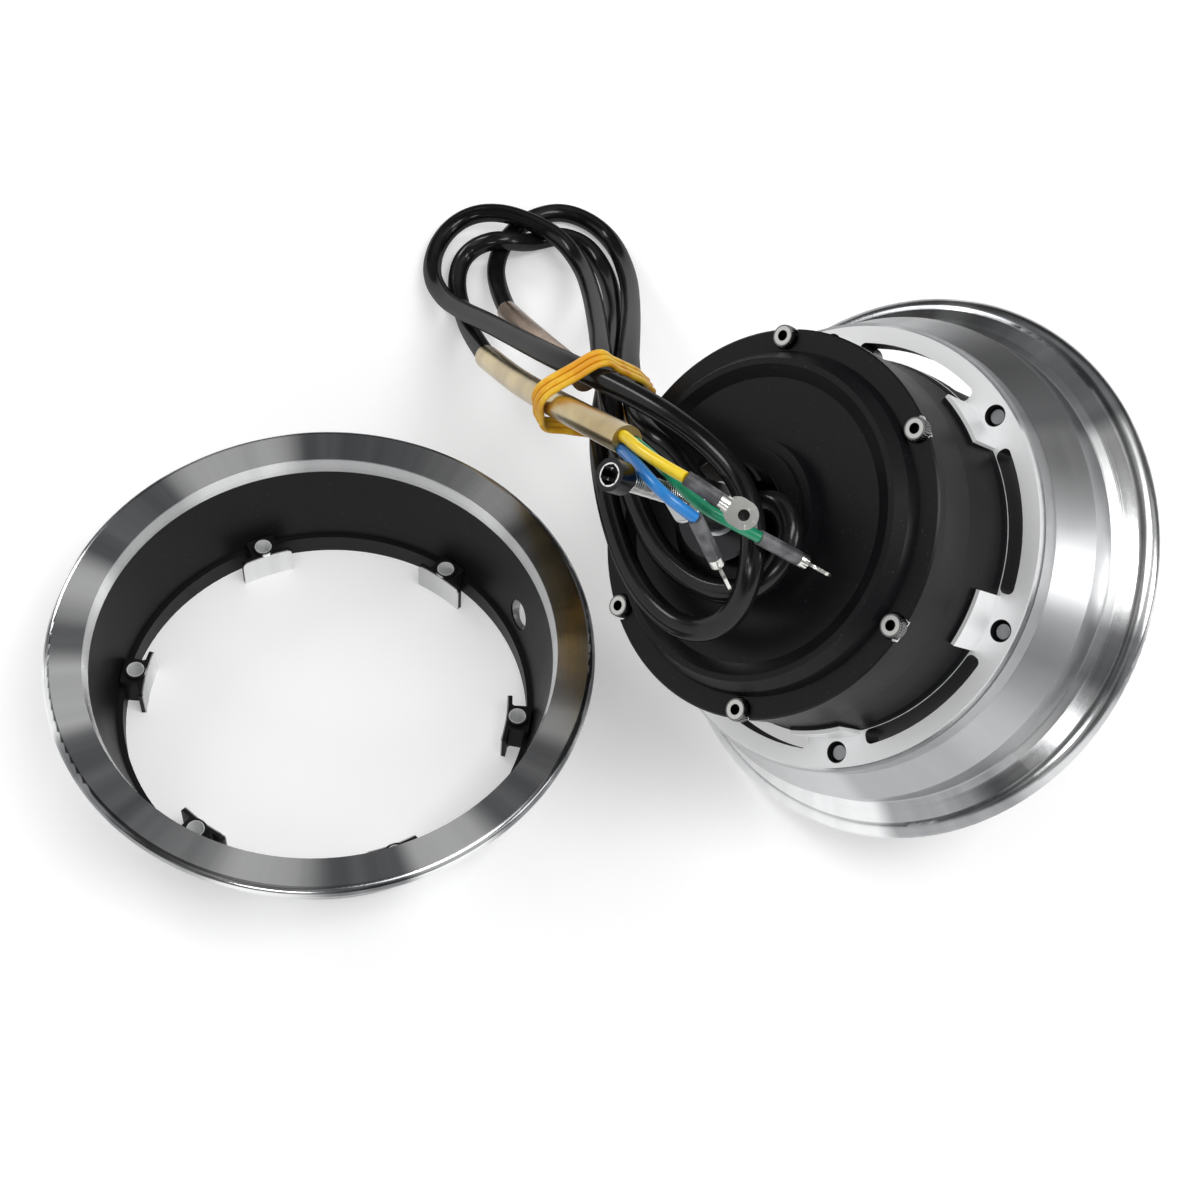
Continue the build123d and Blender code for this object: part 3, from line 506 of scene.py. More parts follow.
def linked(name: str, data: bpy.types.ID) -> Thing:
    """Make an object at the origin and link it to the scene.

    Args:
        name: Its name.
        data: Its mesh, curve, camera or light.

    Returns:
        The object.
    """
    made = bpy.data.objects.new(name, data)
    bpy.context.scene.collection.objects.link(made)
    return made


def dress(node: Thing, finish: Finish) -> None:
    """Give an object one finish.

    Args:
        node: The object.
        finish: Its finish.
    """
    node.data.materials.clear()
    node.data.materials.append(finish.material)


def box_middle(node: str) -> Vector:
    """The middle of a node's box at rest.

    Args:
        node: The node's name.

    Returns:
        The middle.
    """
    low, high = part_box(node)
    return (Vector(low) + Vector(high)) / 2.0


@dataclass
class Studio:
    """Camera, floor, lights and world."""

    position: Point = (0.00588, -0.38872, 0.6392)
    pitch: float = 55.9
    roll: float = 6.95
    lens: float = 60.45
    sensor: float = 36.0
    floor_reach: float = 6.0
    boards: tuple[tuple[Point, float], ...] = (((-0.93, -0.07, 0.36), 30.0), ((0.35, 0.20, 0.92), 16.0))
    board_light: float = 0.95
    board_core: float = 0.6
    floor_glow: float = 0.30
    room_light: float = 0.55
    boxes: tuple[tuple[str, Point, Point, tuple[float, float], float], ...] = (
        ("top_box", (0.55, -0.35, 1.5), (0.05, 0.0, 0.05), (0.9, 0.45), 9.0),
        ("left_box", (-1.2, 0.9, 1.0), (0.0, 0.0, 0.05), (0.4, 0.6), 5.5),
        ("right_box", (1.5, -0.3, 0.7), (0.1, 0.0, 0.08), (0.5, 0.6), 5.0),
        ("front_box", (-0.3, -1.6, 0.9), (0.05, 0.0, 0.08), (0.6, 0.2), 3.5),
    )

    def place_camera(self) -> None:
        """Make the camera at the photograph's viewing angle."""
        data = bpy.data.cameras.new("view")
        data.lens = self.lens
        data.sensor_width = self.sensor
        camera = linked("view", data)
        tip, lean = math.radians(self.pitch), math.radians(self.roll)
        level = Vector((1.0, 0.0, 0.0))
        rise = Vector((0.0, math.sin(tip), math.cos(tip)))
        right = level * math.cos(lean) + rise * math.sin(lean)
        up = rise * math.cos(lean) - level * math.sin(lean)
        back = Vector((0.0, -math.cos(tip), math.sin(tip)))
        camera.matrix_world = Matrix.Translation(self.position) @ Matrix((right, up, back)).transposed().to_4x4()
        bpy.context.scene.camera = camera

    def lay_floor(self) -> None:
        """Lay a pale floor that shows white to the camera and keeps a soft shadow."""
        bpy.ops.mesh.primitive_plane_add(size=self.floor_reach)
        floor = bpy.context.object
        floor.name = "floor"
        paint = bpy.data.materials.new("floor_paint")
        paint.use_nodes = True
        graph = Graph(paint.node_tree)
        shader = paint.node_tree.nodes["Principled BSDF"]
        path = graph.node("ShaderNodeLightPath")
        straight = graph.math("MAXIMUM", path.outputs["Is Camera Ray"], path.outputs["Is Transmission Ray"])
        straight = graph.math("MAXIMUM", straight, path.outputs["Is Glossy Ray"])
        for name, value in (("Base Color", (0.80, 0.80, 0.80)), ("Roughness", 0.9), ("Specular IOR Level", 0.1),
                            ("Emission Color", (1.0, 1.0, 1.0)),
                            ("Emission Strength", graph.product(straight, self.floor_glow))):
            graph.feed(shader.inputs[name], value)
        floor.data.materials.append(paint)

    def light(self, name: str, place: Point, target: Point, size: tuple[float, float], power: float) -> None:
        """Hang one soft box.

        Args:
            name: Its name.
            place: Where it hangs.
            target: What it faces.
            size: Its width and height.
            power: Its power in watts.
        """
        data = bpy.data.lights.new(name, "AREA")
        data.shape = "RECTANGLE"
        data.size, data.size_y = size
        data.energy = power
        lamp = linked(name, data)
        lamp.location = place
        lamp.rotation_euler = (Vector(target) - Vector(place)).to_track_quat("-Z", "Y").to_euler()

    def hang_lights(self) -> None:
        """Hang the soft boxes and fill the world with a pale room that has darker walls in reflections."""
        for box in self.boxes:
            self.light(*box)
        world = bpy.data.worlds.new("room")
        bpy.context.scene.world = world
        world.use_nodes = True
        graph = Graph(world.node_tree)
        ground = world.node_tree.nodes["Background"]
        coordinates = graph.node("ShaderNodeTexCoord")
        stretched = graph.node("ShaderNodeMapping")
        stretched.inputs["Scale"].default_value = (1.0, 1.0, 0.35)
        graph.feed(stretched.inputs["Vector"], coordinates.outputs["Generated"])
        walls = graph.ramp(graph.noise(stretched.outputs[0], 2.1, 1.0), 0.42, 0.62, 0.06, 0.42)
        for toward, reach in self.boards:
            facing = graph.node("ShaderNodeVectorMath", operation="DOT_PRODUCT")
            graph.feed(facing.inputs[0], coordinates.outputs["Generated"])
            facing.inputs[1].default_value = Vector(toward).normalized()
            lit = graph.ramp(facing.outputs["Value"], math.cos(math.radians(reach)),
                             math.cos(math.radians(self.board_core * reach)))
            walls = graph.blend(lit, walls, self.board_light)
        path = graph.node("ShaderNodeLightPath")
        seen = graph.blend(path.outputs["Is Glossy Ray"], self.room_light, walls)
        seen = graph.blend(path.outputs["Is Camera Ray"], seen, 1.0)
        graph.feed(ground.inputs["Color"], (1.0, 1.0, 1.0))
        graph.feed(ground.inputs["Strength"], seen)


@dataclass
class Removed:
    """The removable rim half on the floor."""

    groups: Groups
    lug_face: float = 65.2 * MM
    flange_low: float = 39.2 * MM
    wall_low: float = 8.6 * MM
    wall_radius: float = 74.2 * MM
    wall_slope: float = 6.1 / 30.4
    paint_depth: float = 0.7 * MM
    bevel_radius: float = 81.8 * MM
    lug_holes: Turning = Turning(69.2 * MM, 6, 0.0, 3.1 * MM)
    reflection_fan_seed: float = 2.3

    @property
    def axis(self) -> Axis:
        """The upright axis through its middle."""
        middle = box_middle("removable_rim_half")
        return Axis(Vector((middle.x, middle.y, 0.0)), Vector((0.0, 0.0, 1.0)), Vector((1.0, 0.0, 0.0)))

    def dress(self, nodes: dict[str, Thing]) -> None:
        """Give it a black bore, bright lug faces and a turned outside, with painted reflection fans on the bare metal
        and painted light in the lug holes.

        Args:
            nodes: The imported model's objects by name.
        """
        finish = Finish("removed_rim_metal", self.groups, self.axis)
        graph = finish.graph
        lines = finish.group(self.groups.turned, Pitch=0.22 * MM)
        wear = finish.group(self.groups.wear)
        radius, height = lines["Radius"], lines["Height"]
        wall = graph.math("MULTIPLY_ADD", graph.math("SUBTRACT", height, self.wall_low), self.wall_slope,
                          self.wall_radius + self.paint_depth)
        inside = graph.math("LESS_THAN", radius, graph.math("MAXIMUM", wall, self.wall_radius))
        under_flange = graph.ramp(height, self.flange_low, self.flange_low + 0.3 * MM, 1.0, 0.0)
        off_joint = graph.ramp(height, 0.05 * MM, 0.25 * MM)
        off_lug_face = graph.ramp(radius, self.lug_face + 0.3 * MM, self.lug_face + 0.5 * MM)
        # The lug holes are bare metal. Their walls are also painted bright and dull, as painted light seen through the
        # holes.
        drilled_and_lit = finish.spots(self.lug_holes)
        black = graph.product(inside, under_flange, off_joint, off_lug_face, graph.math("SUBTRACT", 1.0, drilled_and_lit))
        polished = graph.ramp(height, self.flange_low, self.flange_low + 4 * MM)
        bright_rough = graph.math("MULTIPLY_ADD", lines["Line"], 0.16, graph.blend(polished, 0.20, 0.05))
        bright_rough = graph.math("MULTIPLY_ADD", wear["Smudge"], 0.10, bright_rough)
        black_rough = graph.math("MULTIPLY_ADD", wear["Smudge"], 0.25, 0.32)
        # Painted reflection: fans of lighter and darker colour on the bare metal. Inside the bevel radius the colour
        # never goes below a middle tint, and the lug holes get the brightest tint.
        reflection_fan = finish.group(self.groups.fans, Wedges=1.5, Seed=self.reflection_fan_seed)["Fan"]
        bevel = graph.ramp(radius, self.bevel_radius - 0.2 * MM, self.bevel_radius, 1.0, 0.0)
        bevel_reflection = graph.product(bevel, graph.math("MULTIPLY_ADD", reflection_fan, 0.4, 0.4))
        shade = graph.math("MAXIMUM", graph.math("MAXIMUM", reflection_fan, bevel_reflection, use_clamp=True), drilled_and_lit)
        bright = graph.tint(shade, (0.13, 0.133, 0.14), (0.90, 0.905, 0.91))
        dark = graph.tint(wear["Speck"], (0.010, 0.010, 0.011), (0.025, 0.025, 0.027))
        finish.half_painted(black, graph.product(drilled_and_lit, 0.8), (bright, dark), (bright_rough, black_rough),
                            lines["Line"])
        dress(nodes["removable_rim_half"], finish)


@dataclass
class Motor:
    """The motor: shell with its rim half, covers, screws, axle and what is inside."""

    axis: Axis
    groups: Groups
    shell_edge: float = 63.35 * MM
    neck_radius: float = 72.4 * MM
    wall_radius: float = 74.2 * MM
    wall_slope: float = 6.1 / 30.4
    pad_floor: float = 35.0 * MM
    joint_face: float = 43.6 * MM
    flange_top: float = 4.4 * MM
    paint_depth: float = 0.7 * MM
    reflection_fan_seed: float = 7.7
    screws: Turning = Turning(59.8 * MM, 6, 17.4, 4.45 * MM)
    sockets: Turning = Turning(59.8 * MM, 6, 17.4, 1.75 * MM)
    heads: Turning = Turning(59.8 * MM, 6, 17.4, 3.05 * MM)
    pads: Turning = Turning(69.2 * MM, 6, 26.4, 3.62 * MM)
    seat_low: float = 84.4 * MM
    seat_high: float = 86.35 * MM
    front_face: float = 86.4 * MM
    rear_face: float = 0.0
    bolt_radius: float = 3.0 * MM
    bolt_pitch: float = 1.0 * MM
    bolt_start: float = 130.0 * MM
    bolt_end: float = 159.6 * MM
    rear_bolt_start: float = -62.0 * MM
    head_radius: float = 3.5 * MM
    head_height: float = 4.0 * MM
    knurls: int = 28
    head_sink: float = 1.6 * MM
    knurl_share: float = 0.72
    knurl_middle: float = 0.42

    def two_tone(self) -> Finish:
        """Bright turned rim on a black shell, with dark bolt holes as painted shade and painted reflection on the bare
        metal.

        Returns:
            The finish.
        """
        finish = Finish("shell_and_rim_metal", self.groups, self.axis)
        graph = finish.graph
        lines = finish.group(self.groups.turned, Pitch=0.24 * MM)
        wear = finish.group(self.groups.wear)
        radius, height = lines["Radius"], lines["Height"]
        shell = graph.ramp(radius, self.shell_edge - 0.1 * MM, self.shell_edge, 1.0, 0.0)
        # Painted shade: the bolt holes in the pads are painted black, as the shade inside them.
        holes = finish.spots(self.pads)
        wall = graph.math("MULTIPLY_ADD", graph.math("SUBTRACT", self.pad_floor, height), self.wall_slope,
                          self.wall_radius + self.paint_depth)
        hollow = graph.product(
            graph.math("LESS_THAN", radius, graph.math("MAXIMUM", wall, self.neck_radius + self.paint_depth)),
            graph.ramp(height, self.joint_face - 0.3 * MM, self.joint_face - 0.1 * MM, 1.0, 0.0),
            graph.ramp(height, self.flange_top, self.flange_top + 0.2 * MM),
        )
        black = graph.math("MAXIMUM", graph.math("MAXIMUM", shell, holes), hollow)
        polished = graph.math("MAXIMUM", graph.ramp(radius, 84 * MM, 87 * MM), graph.ramp(height, 42 * MM, 43.2 * MM))
        bright_rough = graph.math("MULTIPLY_ADD", lines["Line"], 0.20, graph.blend(polished, 0.20, 0.06))
        bright_rough = graph.math("MULTIPLY_ADD", wear["Smudge"], 0.12, bright_rough)
        black_rough = graph.math("MULTIPLY_ADD", wear["Smudge"], 0.22, 0.30)
        # Painted reflection and shade: fans of lighter and darker colour on the bare metal, a darker tone with turned
        # lines on the barrel, and the joint face kept at the brightest tint.
        reflection_fan = finish.group(self.groups.fans, Wedges=1.8, Seed=self.reflection_fan_seed)["Fan"]
        barrel = graph.product(graph.ramp(radius, 74.5 * MM, 75.2 * MM),
                               graph.ramp(radius, 83.2 * MM, 83.6 * MM, 1.0, 0.0))
        brushed_and_shaded = graph.math("MULTIPLY_ADD", lines["Line"], 0.18, 0.16)
        shade = graph.blend(barrel, reflection_fan, graph.blend(0.3, brushed_and_shaded, reflection_fan))
        shade = graph.math("MAXIMUM", shade, graph.ramp(height, self.joint_face - 1.2 * MM, self.joint_face - 0.4 * MM))
        bright = graph.tint(shade, (0.26, 0.265, 0.275), (0.88, 0.885, 0.89))
        dark = graph.tint(wear["Speck"], (0.008, 0.008, 0.009), (0.02, 0.02, 0.022))
        milled = graph.product(graph.ramp(radius, self.neck_radius + 2.0 * MM, self.neck_radius + 2.3 * MM, 1.0, 0.0),
                               graph.math("SUBTRACT", 1.0, black))
        finish.half_painted(black, graph.product(milled, 0.6), (bright, dark),
                            (graph.blend(milled, bright_rough, 0.42), graph.blend(hollow, black_rough, 0.8)),
                            lines["Line"])
        return finish

    def black_cover(self, name: str, low: float, high: float) -> Finish:
        """Satin black cover with bare metal at the outer side of each screw seat.

        Args:
            name: The material's name.
            low: Lowest height of the bare metal.
            high: Highest height of the bare metal.

        Returns:
            The finish.
        """
        finish = Finish(name, self.groups, self.axis)
        graph = finish.graph
        lines = finish.group(self.groups.turned, Pitch=0.6 * MM)
        wear = finish.group(self.groups.wear)
        radius, height = lines["Radius"], lines["Height"]
        outward = graph.ramp(radius, self.screws.circle + 0.6 * MM, self.screws.circle + 1.4 * MM)
        bare = graph.product(finish.spots(self.screws), outward, graph.ramp(height, low, low + 0.1 * MM),
                             graph.ramp(height, high, high + 0.05 * MM, 1.0, 0.0))
        rough = graph.math("MULTIPLY_ADD", wear["Smudge"], 0.20, 0.30)
        dark = graph.tint(wear["Speck"], (0.006, 0.006, 0.007), (0.02, 0.02, 0.022))
        finish.plain((0.02, 0.02, 0.02), 0.0, 0.35, 0.14, 0.05, 1.8, 0.30)
        finish.set("Base Color", graph.tint(bare, dark, (0.80, 0.80, 0.80)))
        finish.set("Metallic", bare)
        finish.set("Roughness", graph.blend(bare, rough, 0.22))
        finish.bump(lines["Line"], 0.05, 0.1 * MM)
        return finish

    def simple(self, name: str, colour: Colour, metallic: float, roughness: float, turned: bool = False) -> Finish:
        """A plain finish, with turned lines about the motor's axis where asked.

        Args:
            name: The material's name.
            colour: Base colour.
            metallic: 0 or 1.
            roughness: Mean roughness.
            turned: Whether it shows lathe lines.

        Returns:
            The finish.
        """
        finish = Finish(name, self.groups, self.axis)
        finish.plain(colour, metallic, roughness)
        wear = finish.group(self.groups.wear)
        finish.set("Roughness", finish.graph.math("MULTIPLY_ADD", wear["Smudge"], 0.14, roughness - 0.07))
        if turned:
            finish.bump(finish.group(self.groups.turned, Pitch=0.2 * MM)["Line"], 0.15, 0.1 * MM)
        return finish

    def blackened_head(self, name: str) -> Finish:
        """Bright steel with a blackened head, told apart by the distance from the motor's axis.

        Args:
            name: The material's name.

        Returns:
            The finish.
        """
        finish = Finish(name, self.groups, self.axis)
        finish.plain((0.7, 0.7, 0.68), 1.0, 0.24)
        graph = finish.graph
        radius = finish.group(self.groups.turned, Pitch=0.2 * MM)["Radius"]
        wear = finish.group(self.groups.wear)
        crest, edge = self.bolt_radius + 0.04 * MM, self.bolt_radius + 0.5 * MM
        ridge = graph.product(graph.ramp(radius, crest, crest + 0.04 * MM),
                              graph.ramp(radius, edge, edge + 0.1 * MM, 1.0, 0.0))
        worn = graph.tint(wear["Speck"], (0.035, 0.035, 0.038), (0.12, 0.12, 0.12))
        finish.set("Base Color", graph.tint(ridge, worn, (0.85, 0.85, 0.83)))
        finish.set("Roughness", graph.math("MULTIPLY_ADD", wear["Smudge"], 0.2, 0.16))
        return finish

    def dress(self, nodes: dict[str, Thing]) -> None:
        """Give every node of the motor its finish.

        Args:
            nodes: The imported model's objects by name.
        """
        dress(nodes["hub_shell"], self.two_tone())
        dress(nodes["front_cover"], self.black_cover("front_cover_paint", self.seat_low, self.seat_high))
        dress(nodes["rear_cover"], self.black_cover("rear_cover_paint", 0.05 * MM, 2.0 * MM))
        steel = self.simple("screw_steel", (0.60, 0.60, 0.58), 1.0, 0.26)
        # Painted shade: each head's rim and knurls are darker than its face, and the socket recesses are painted near
        # black.
        top = steel.graph.tint(steel.spots(self.heads), (0.16, 0.16, 0.16), (0.55, 0.55, 0.53))
        steel.set("Base Color", steel.graph.tint(steel.spots(self.sockets), top, (0.02, 0.02, 0.02)))
        end_bolt = self.blackened_head("end_bolt_steel")
        for finish, names in ((steel, ("front_cover_screws", "rear_cover_screws")),
                              (end_bolt, ("front_end_bolt", "rear_end_bolt"))):
            for name in names:
                dress(nodes[name], finish)
        bearings = tuple(f"{end}_bearing_{piece}" for end in ("front", "rear") for piece in ("outer", "inner", "balls"))
        for material, colour, metallic, roughness, turned, names in (
            ("bolt_steel", (0.30, 0.31, 0.32), 1.0, 0.34, False, ("rim_bolts",)),
            ("bearing_steel", (0.72, 0.73, 0.74), 1.0, 0.18, True, bearings),
            ("seal_rubber", (0.012, 0.012, 0.012), 0.0, 0.55, False,
             ("front_seal", "rear_seal", "cable_grommets", "axle_leads")),
            ("core_steel", (0.30, 0.31, 0.33), 1.0, 0.42, False, ("flux_ring", "stator_core")),
            ("magnet_nickel", (0.60, 0.60, 0.58), 1.0, 0.22, False, ("magnets",)),
            ("copper_wire", (0.62, 0.24, 0.08), 1.0, 0.30, False, ("windings",)),
            ("board_green", (0.02, 0.16, 0.05), 0.0, 0.42, False, ("hall_board",)),
            ("axle_steel", (0.50, 0.51, 0.52), 1.0, 0.30, True, ("axle",)),
            # The polished collar is given a near-black colour: painted shade beneath the cables and wires.
            ("collar_steel", (0.035, 0.035, 0.037), 1.0, 0.25, True, ("cable_collar",)),
            ("carrier_metal", (0.66, 0.67, 0.68), 1.0, 0.38, False, ("stator_carrier",)),
        ):
            finish = self.simple(material, colour, metallic, roughness, turned)
            for name in names:
                dress(nodes[name], finish)
        LOG.info("motor dressed")
        self.cut_threads(end_bolt)
        self.knurl_heads(steel)

    def cut_threads(self, finish: Finish) -> None:
        """Wind a thread on the bare shank of both end bolts.

        Args:
            finish: The bolts' finish.
        """
        length = self.bolt_end - self.bolt_start
        for name, start in (("front_bolt_thread", self.bolt_start),
                            ("rear_bolt_thread", self.rear_bolt_start - length)):
            origin = self.axis.point(0.0, 0.0, start)
            place = Matrix.Translation(origin) @ self.axis.turn.to_4x4()
            tree = thread_tree(name, finish.material)
            piece = grown(name, tree, {"Radius": self.bolt_radius, "Pitch": self.bolt_pitch, "Length": length})
            piece.data.transform(place)
            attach(piece, Body.AXLE_SIDE.value)
            LOG.info("%s wound", name)

    def knurl_heads(self, finish: Finish) -> None:
        """Raise a knurl round each cover screw's head.

        Args:
            finish: The screws' finish.
        """
        rows = (("front_screw_knurls", self.front_face - self.head_sink, 1.0),
                ("rear_screw_knurls", self.rear_face + self.head_sink, -1.0))
        for name, seat, outward in rows:
            tree = knurl_tree(name, finish.material)
            sizes = {"Head Radius": self.head_radius, "Knurls": self.knurls, "Circle": self.screws.circle,
                     "Heads": self.screws.count, "Height": self.head_height * self.knurl_share}
            piece = grown(name, tree, sizes)
            middle = seat + outward * self.head_height * self.knurl_middle
            turned = Matrix.Rotation(math.radians(self.screws.turn), 4, "Z")
            place = Matrix.Translation(self.axis.point(0.0, 0.0, middle)) @ self.axis.turn.to_4x4() @ turned
            piece.data.transform(place)
            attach(piece, Body.ROTOR.value)
            LOG.info("%s raised", name)


def geometry_tree(name: str, inputs: Sequence[tuple[str, str]]) -> tuple[Graph, dict[str, Socket]]:
    """Start a geometry node tree.

    Args:
        name: The tree's name.
        inputs: Names and types of its size inputs.

    Returns:
        Its graph, and its inputs by name.
    """
    tree = bpy.data.node_groups.new(name, "GeometryNodeTree")
    tree.interface.new_socket(name="Geometry", in_out="INPUT", socket_type="NodeSocketGeometry")
    for label, kind in inputs:
        tree.interface.new_socket(name=label, in_out="INPUT", socket_type=kind)
    tree.interface.new_socket(name="Geometry", in_out="OUTPUT", socket_type="NodeSocketGeometry")
    graph = Graph(tree)
    start = graph.node("NodeGroupInput")
    return graph, {socket.name: socket for socket in start.outputs}


def finished_tree(graph: Graph, shape: Socket, material: bpy.types.Material) -> Tree:
    """End a geometry node tree with real geometry and its material.

    Args:
        graph: The tree's graph.
        shape: The geometry to put out.
        material: Its material.

    Returns:
        The tree.
    """
    real = graph.node("GeometryNodeRealizeInstances")
    graph.feed(real.inputs[0], shape)
    coated = graph.node("GeometryNodeSetMaterial")
    graph.feed(coated.inputs["Geometry"], real.outputs[0])
    coated.inputs["Material"].default_value = material
    end = graph.node("NodeGroupOutput")
    graph.feed(end.inputs[0], coated.outputs[0])
    return graph.tree


def grown(name: str, tree: Tree, sizes: dict[str, float]) -> Thing:
    """Run a geometry node tree and keep its result as a plain mesh.

    Args:
        name: The new object's name.
        tree: The tree.
        sizes: Values for its named inputs.

    Returns:
        An object at the origin with the mesh and no modifier.
    """
    holder = linked(name, bpy.data.meshes.new(name))
    modifier = holder.modifiers.new("grow", "NODES")
    modifier.node_group = tree
    for item in tree.interface.items_tree:
        if item.item_type == "SOCKET" and item.in_out == "INPUT" and item.name in sizes:
            modifier[item.identifier] = sizes[item.name]
    bpy.context.view_layer.update()
    made = bpy.data.meshes.new_from_object(holder.evaluated_get(bpy.context.evaluated_depsgraph_get()))
    holder.modifiers.remove(modifier)
    holder.data = made
    return holder


def thread_tree(name: str, material: bpy.types.Material) -> Tree:
    """A ridge wound round Z from the origin, with inputs Radius, Pitch and Length.

    Args:
        name: The tree's name.
        material: The ridge's material.

    Returns:
        The tree.
    """
    graph, given = geometry_tree(name, [("Radius", "NodeSocketFloat"), ("Pitch", "NodeSocketFloat"),
                                        ("Length", "NodeSocketFloat")])
    spiral = graph.node("GeometryNodeCurveSpiral")
    spiral.inputs["Resolution"].default_value = 24
    graph.feed(spiral.inputs["Rotations"], graph.math("DIVIDE", given["Length"], given["Pitch"]))
    graph.feed(spiral.inputs["Start Radius"], given["Radius"])
    graph.feed(spiral.inputs["End Radius"], given["Radius"])
    graph.feed(spiral.inputs["Height"], given["Length"])
    ridge = graph.node("GeometryNodeCurvePrimitiveCircle")
    ridge.inputs["Resolution"].default_value = 4
    graph.feed(ridge.inputs["Radius"], graph.product(given["Pitch"], RIDGE_PER_PITCH))
    wound = graph.node("GeometryNodeCurveToMesh")
    graph.feed(wound.inputs["Curve"], spiral.outputs[0])
    graph.feed(wound.inputs["Profile Curve"], ridge.outputs[0])
    wound.inputs["Fill Caps"].default_value = True
    return finished_tree(graph, wound.outputs[0], material)


def knurl_tree(name: str, material: bpy.types.Material) -> Tree:
    """Small upright ribs round heads that stand on a circle, with inputs for every size.

    Args:
        name: The tree's name.
        material: The ribs' material.

    Returns:
        The tree.
    """
    graph, given = geometry_tree(name, [("Head Radius", "NodeSocketFloat"), ("Knurls", "NodeSocketInt"),
                                        ("Circle", "NodeSocketFloat"), ("Heads", "NodeSocketInt"),
                                        ("Height", "NodeSocketFloat")])
    rib = graph.node("GeometryNodeMeshCylinder")
    rib.inputs["Vertices"].default_value = 5
    graph.feed(rib.inputs["Radius"], graph.product(given["Head Radius"], RIB_PER_HEAD))
    graph.feed(rib.inputs["Depth"], given["Height"])
    ring = graph.node("GeometryNodeMeshCircle")
    graph.feed(ring.inputs["Vertices"], given["Knurls"])
    graph.feed(ring.inputs["Radius"], given["Head Radius"])
    ribs = graph.node("GeometryNodeInstanceOnPoints")
    graph.feed(ribs.inputs["Points"], ring.outputs[0])
    graph.feed(ribs.inputs["Instance"], rib.outputs[0])
    heads = graph.node("GeometryNodeMeshCircle")
    graph.feed(heads.inputs["Vertices"], given["Heads"])
    graph.feed(heads.inputs["Radius"], given["Circle"])
    placed = graph.node("GeometryNodeInstanceOnPoints")
    graph.feed(placed.inputs["Points"], heads.outputs[0])
    graph.feed(placed.inputs["Instance"], ribs.outputs[0])
    return finished_tree(graph, placed.outputs[0], material)


@dataclass(frozen=True)
class Cord:
    """One cord: its given points in millimetres from the middle of the removable half, and its look."""

    name: str
    node: str
    route: tuple[Point, ...]
    length: float
    radius: float
    slot: str


@dataclass(frozen=True)
class Insulation:
    """A finish for a cable jacket, a wire or a sleeve: two shades, roughness, coat and how far it varies."""

    name: str
    dark: Colour
    light: Colour
    roughness: float
    coat: float
    mottle: float
    grain: float
    metallic: float = 0.0
    specular: float = 0.5
    coat_index: float = 1.5
    coat_roughness: float = 0.08

    def finish(self, groups: Groups) -> Finish:
        """Build it.

        Args:
            groups: The shared node groups.

        Returns:
            The finish.
        """
        made = Finish(self.name, groups)
        made.plain(self.dark, self.metallic, self.roughness, self.coat, self.specular, self.coat_index,
                   self.coat_roughness)
        wear = made.group(groups.wear)
        shade = made.graph.noise(made.place, self.mottle, 3.0)
        colour = made.graph.tint(made.graph.ramp(shade, 0.35, 0.68), self.dark, self.light)
        made.set("Base Color", colour)
        made.set("Roughness", made.graph.math("MULTIPLY_ADD", wear["Smudge"], 0.16, self.roughness - 0.08))
        made.bump(made.graph.noise(made.place, self.grain, 2.0), 0.12, 0.0003)
        return made


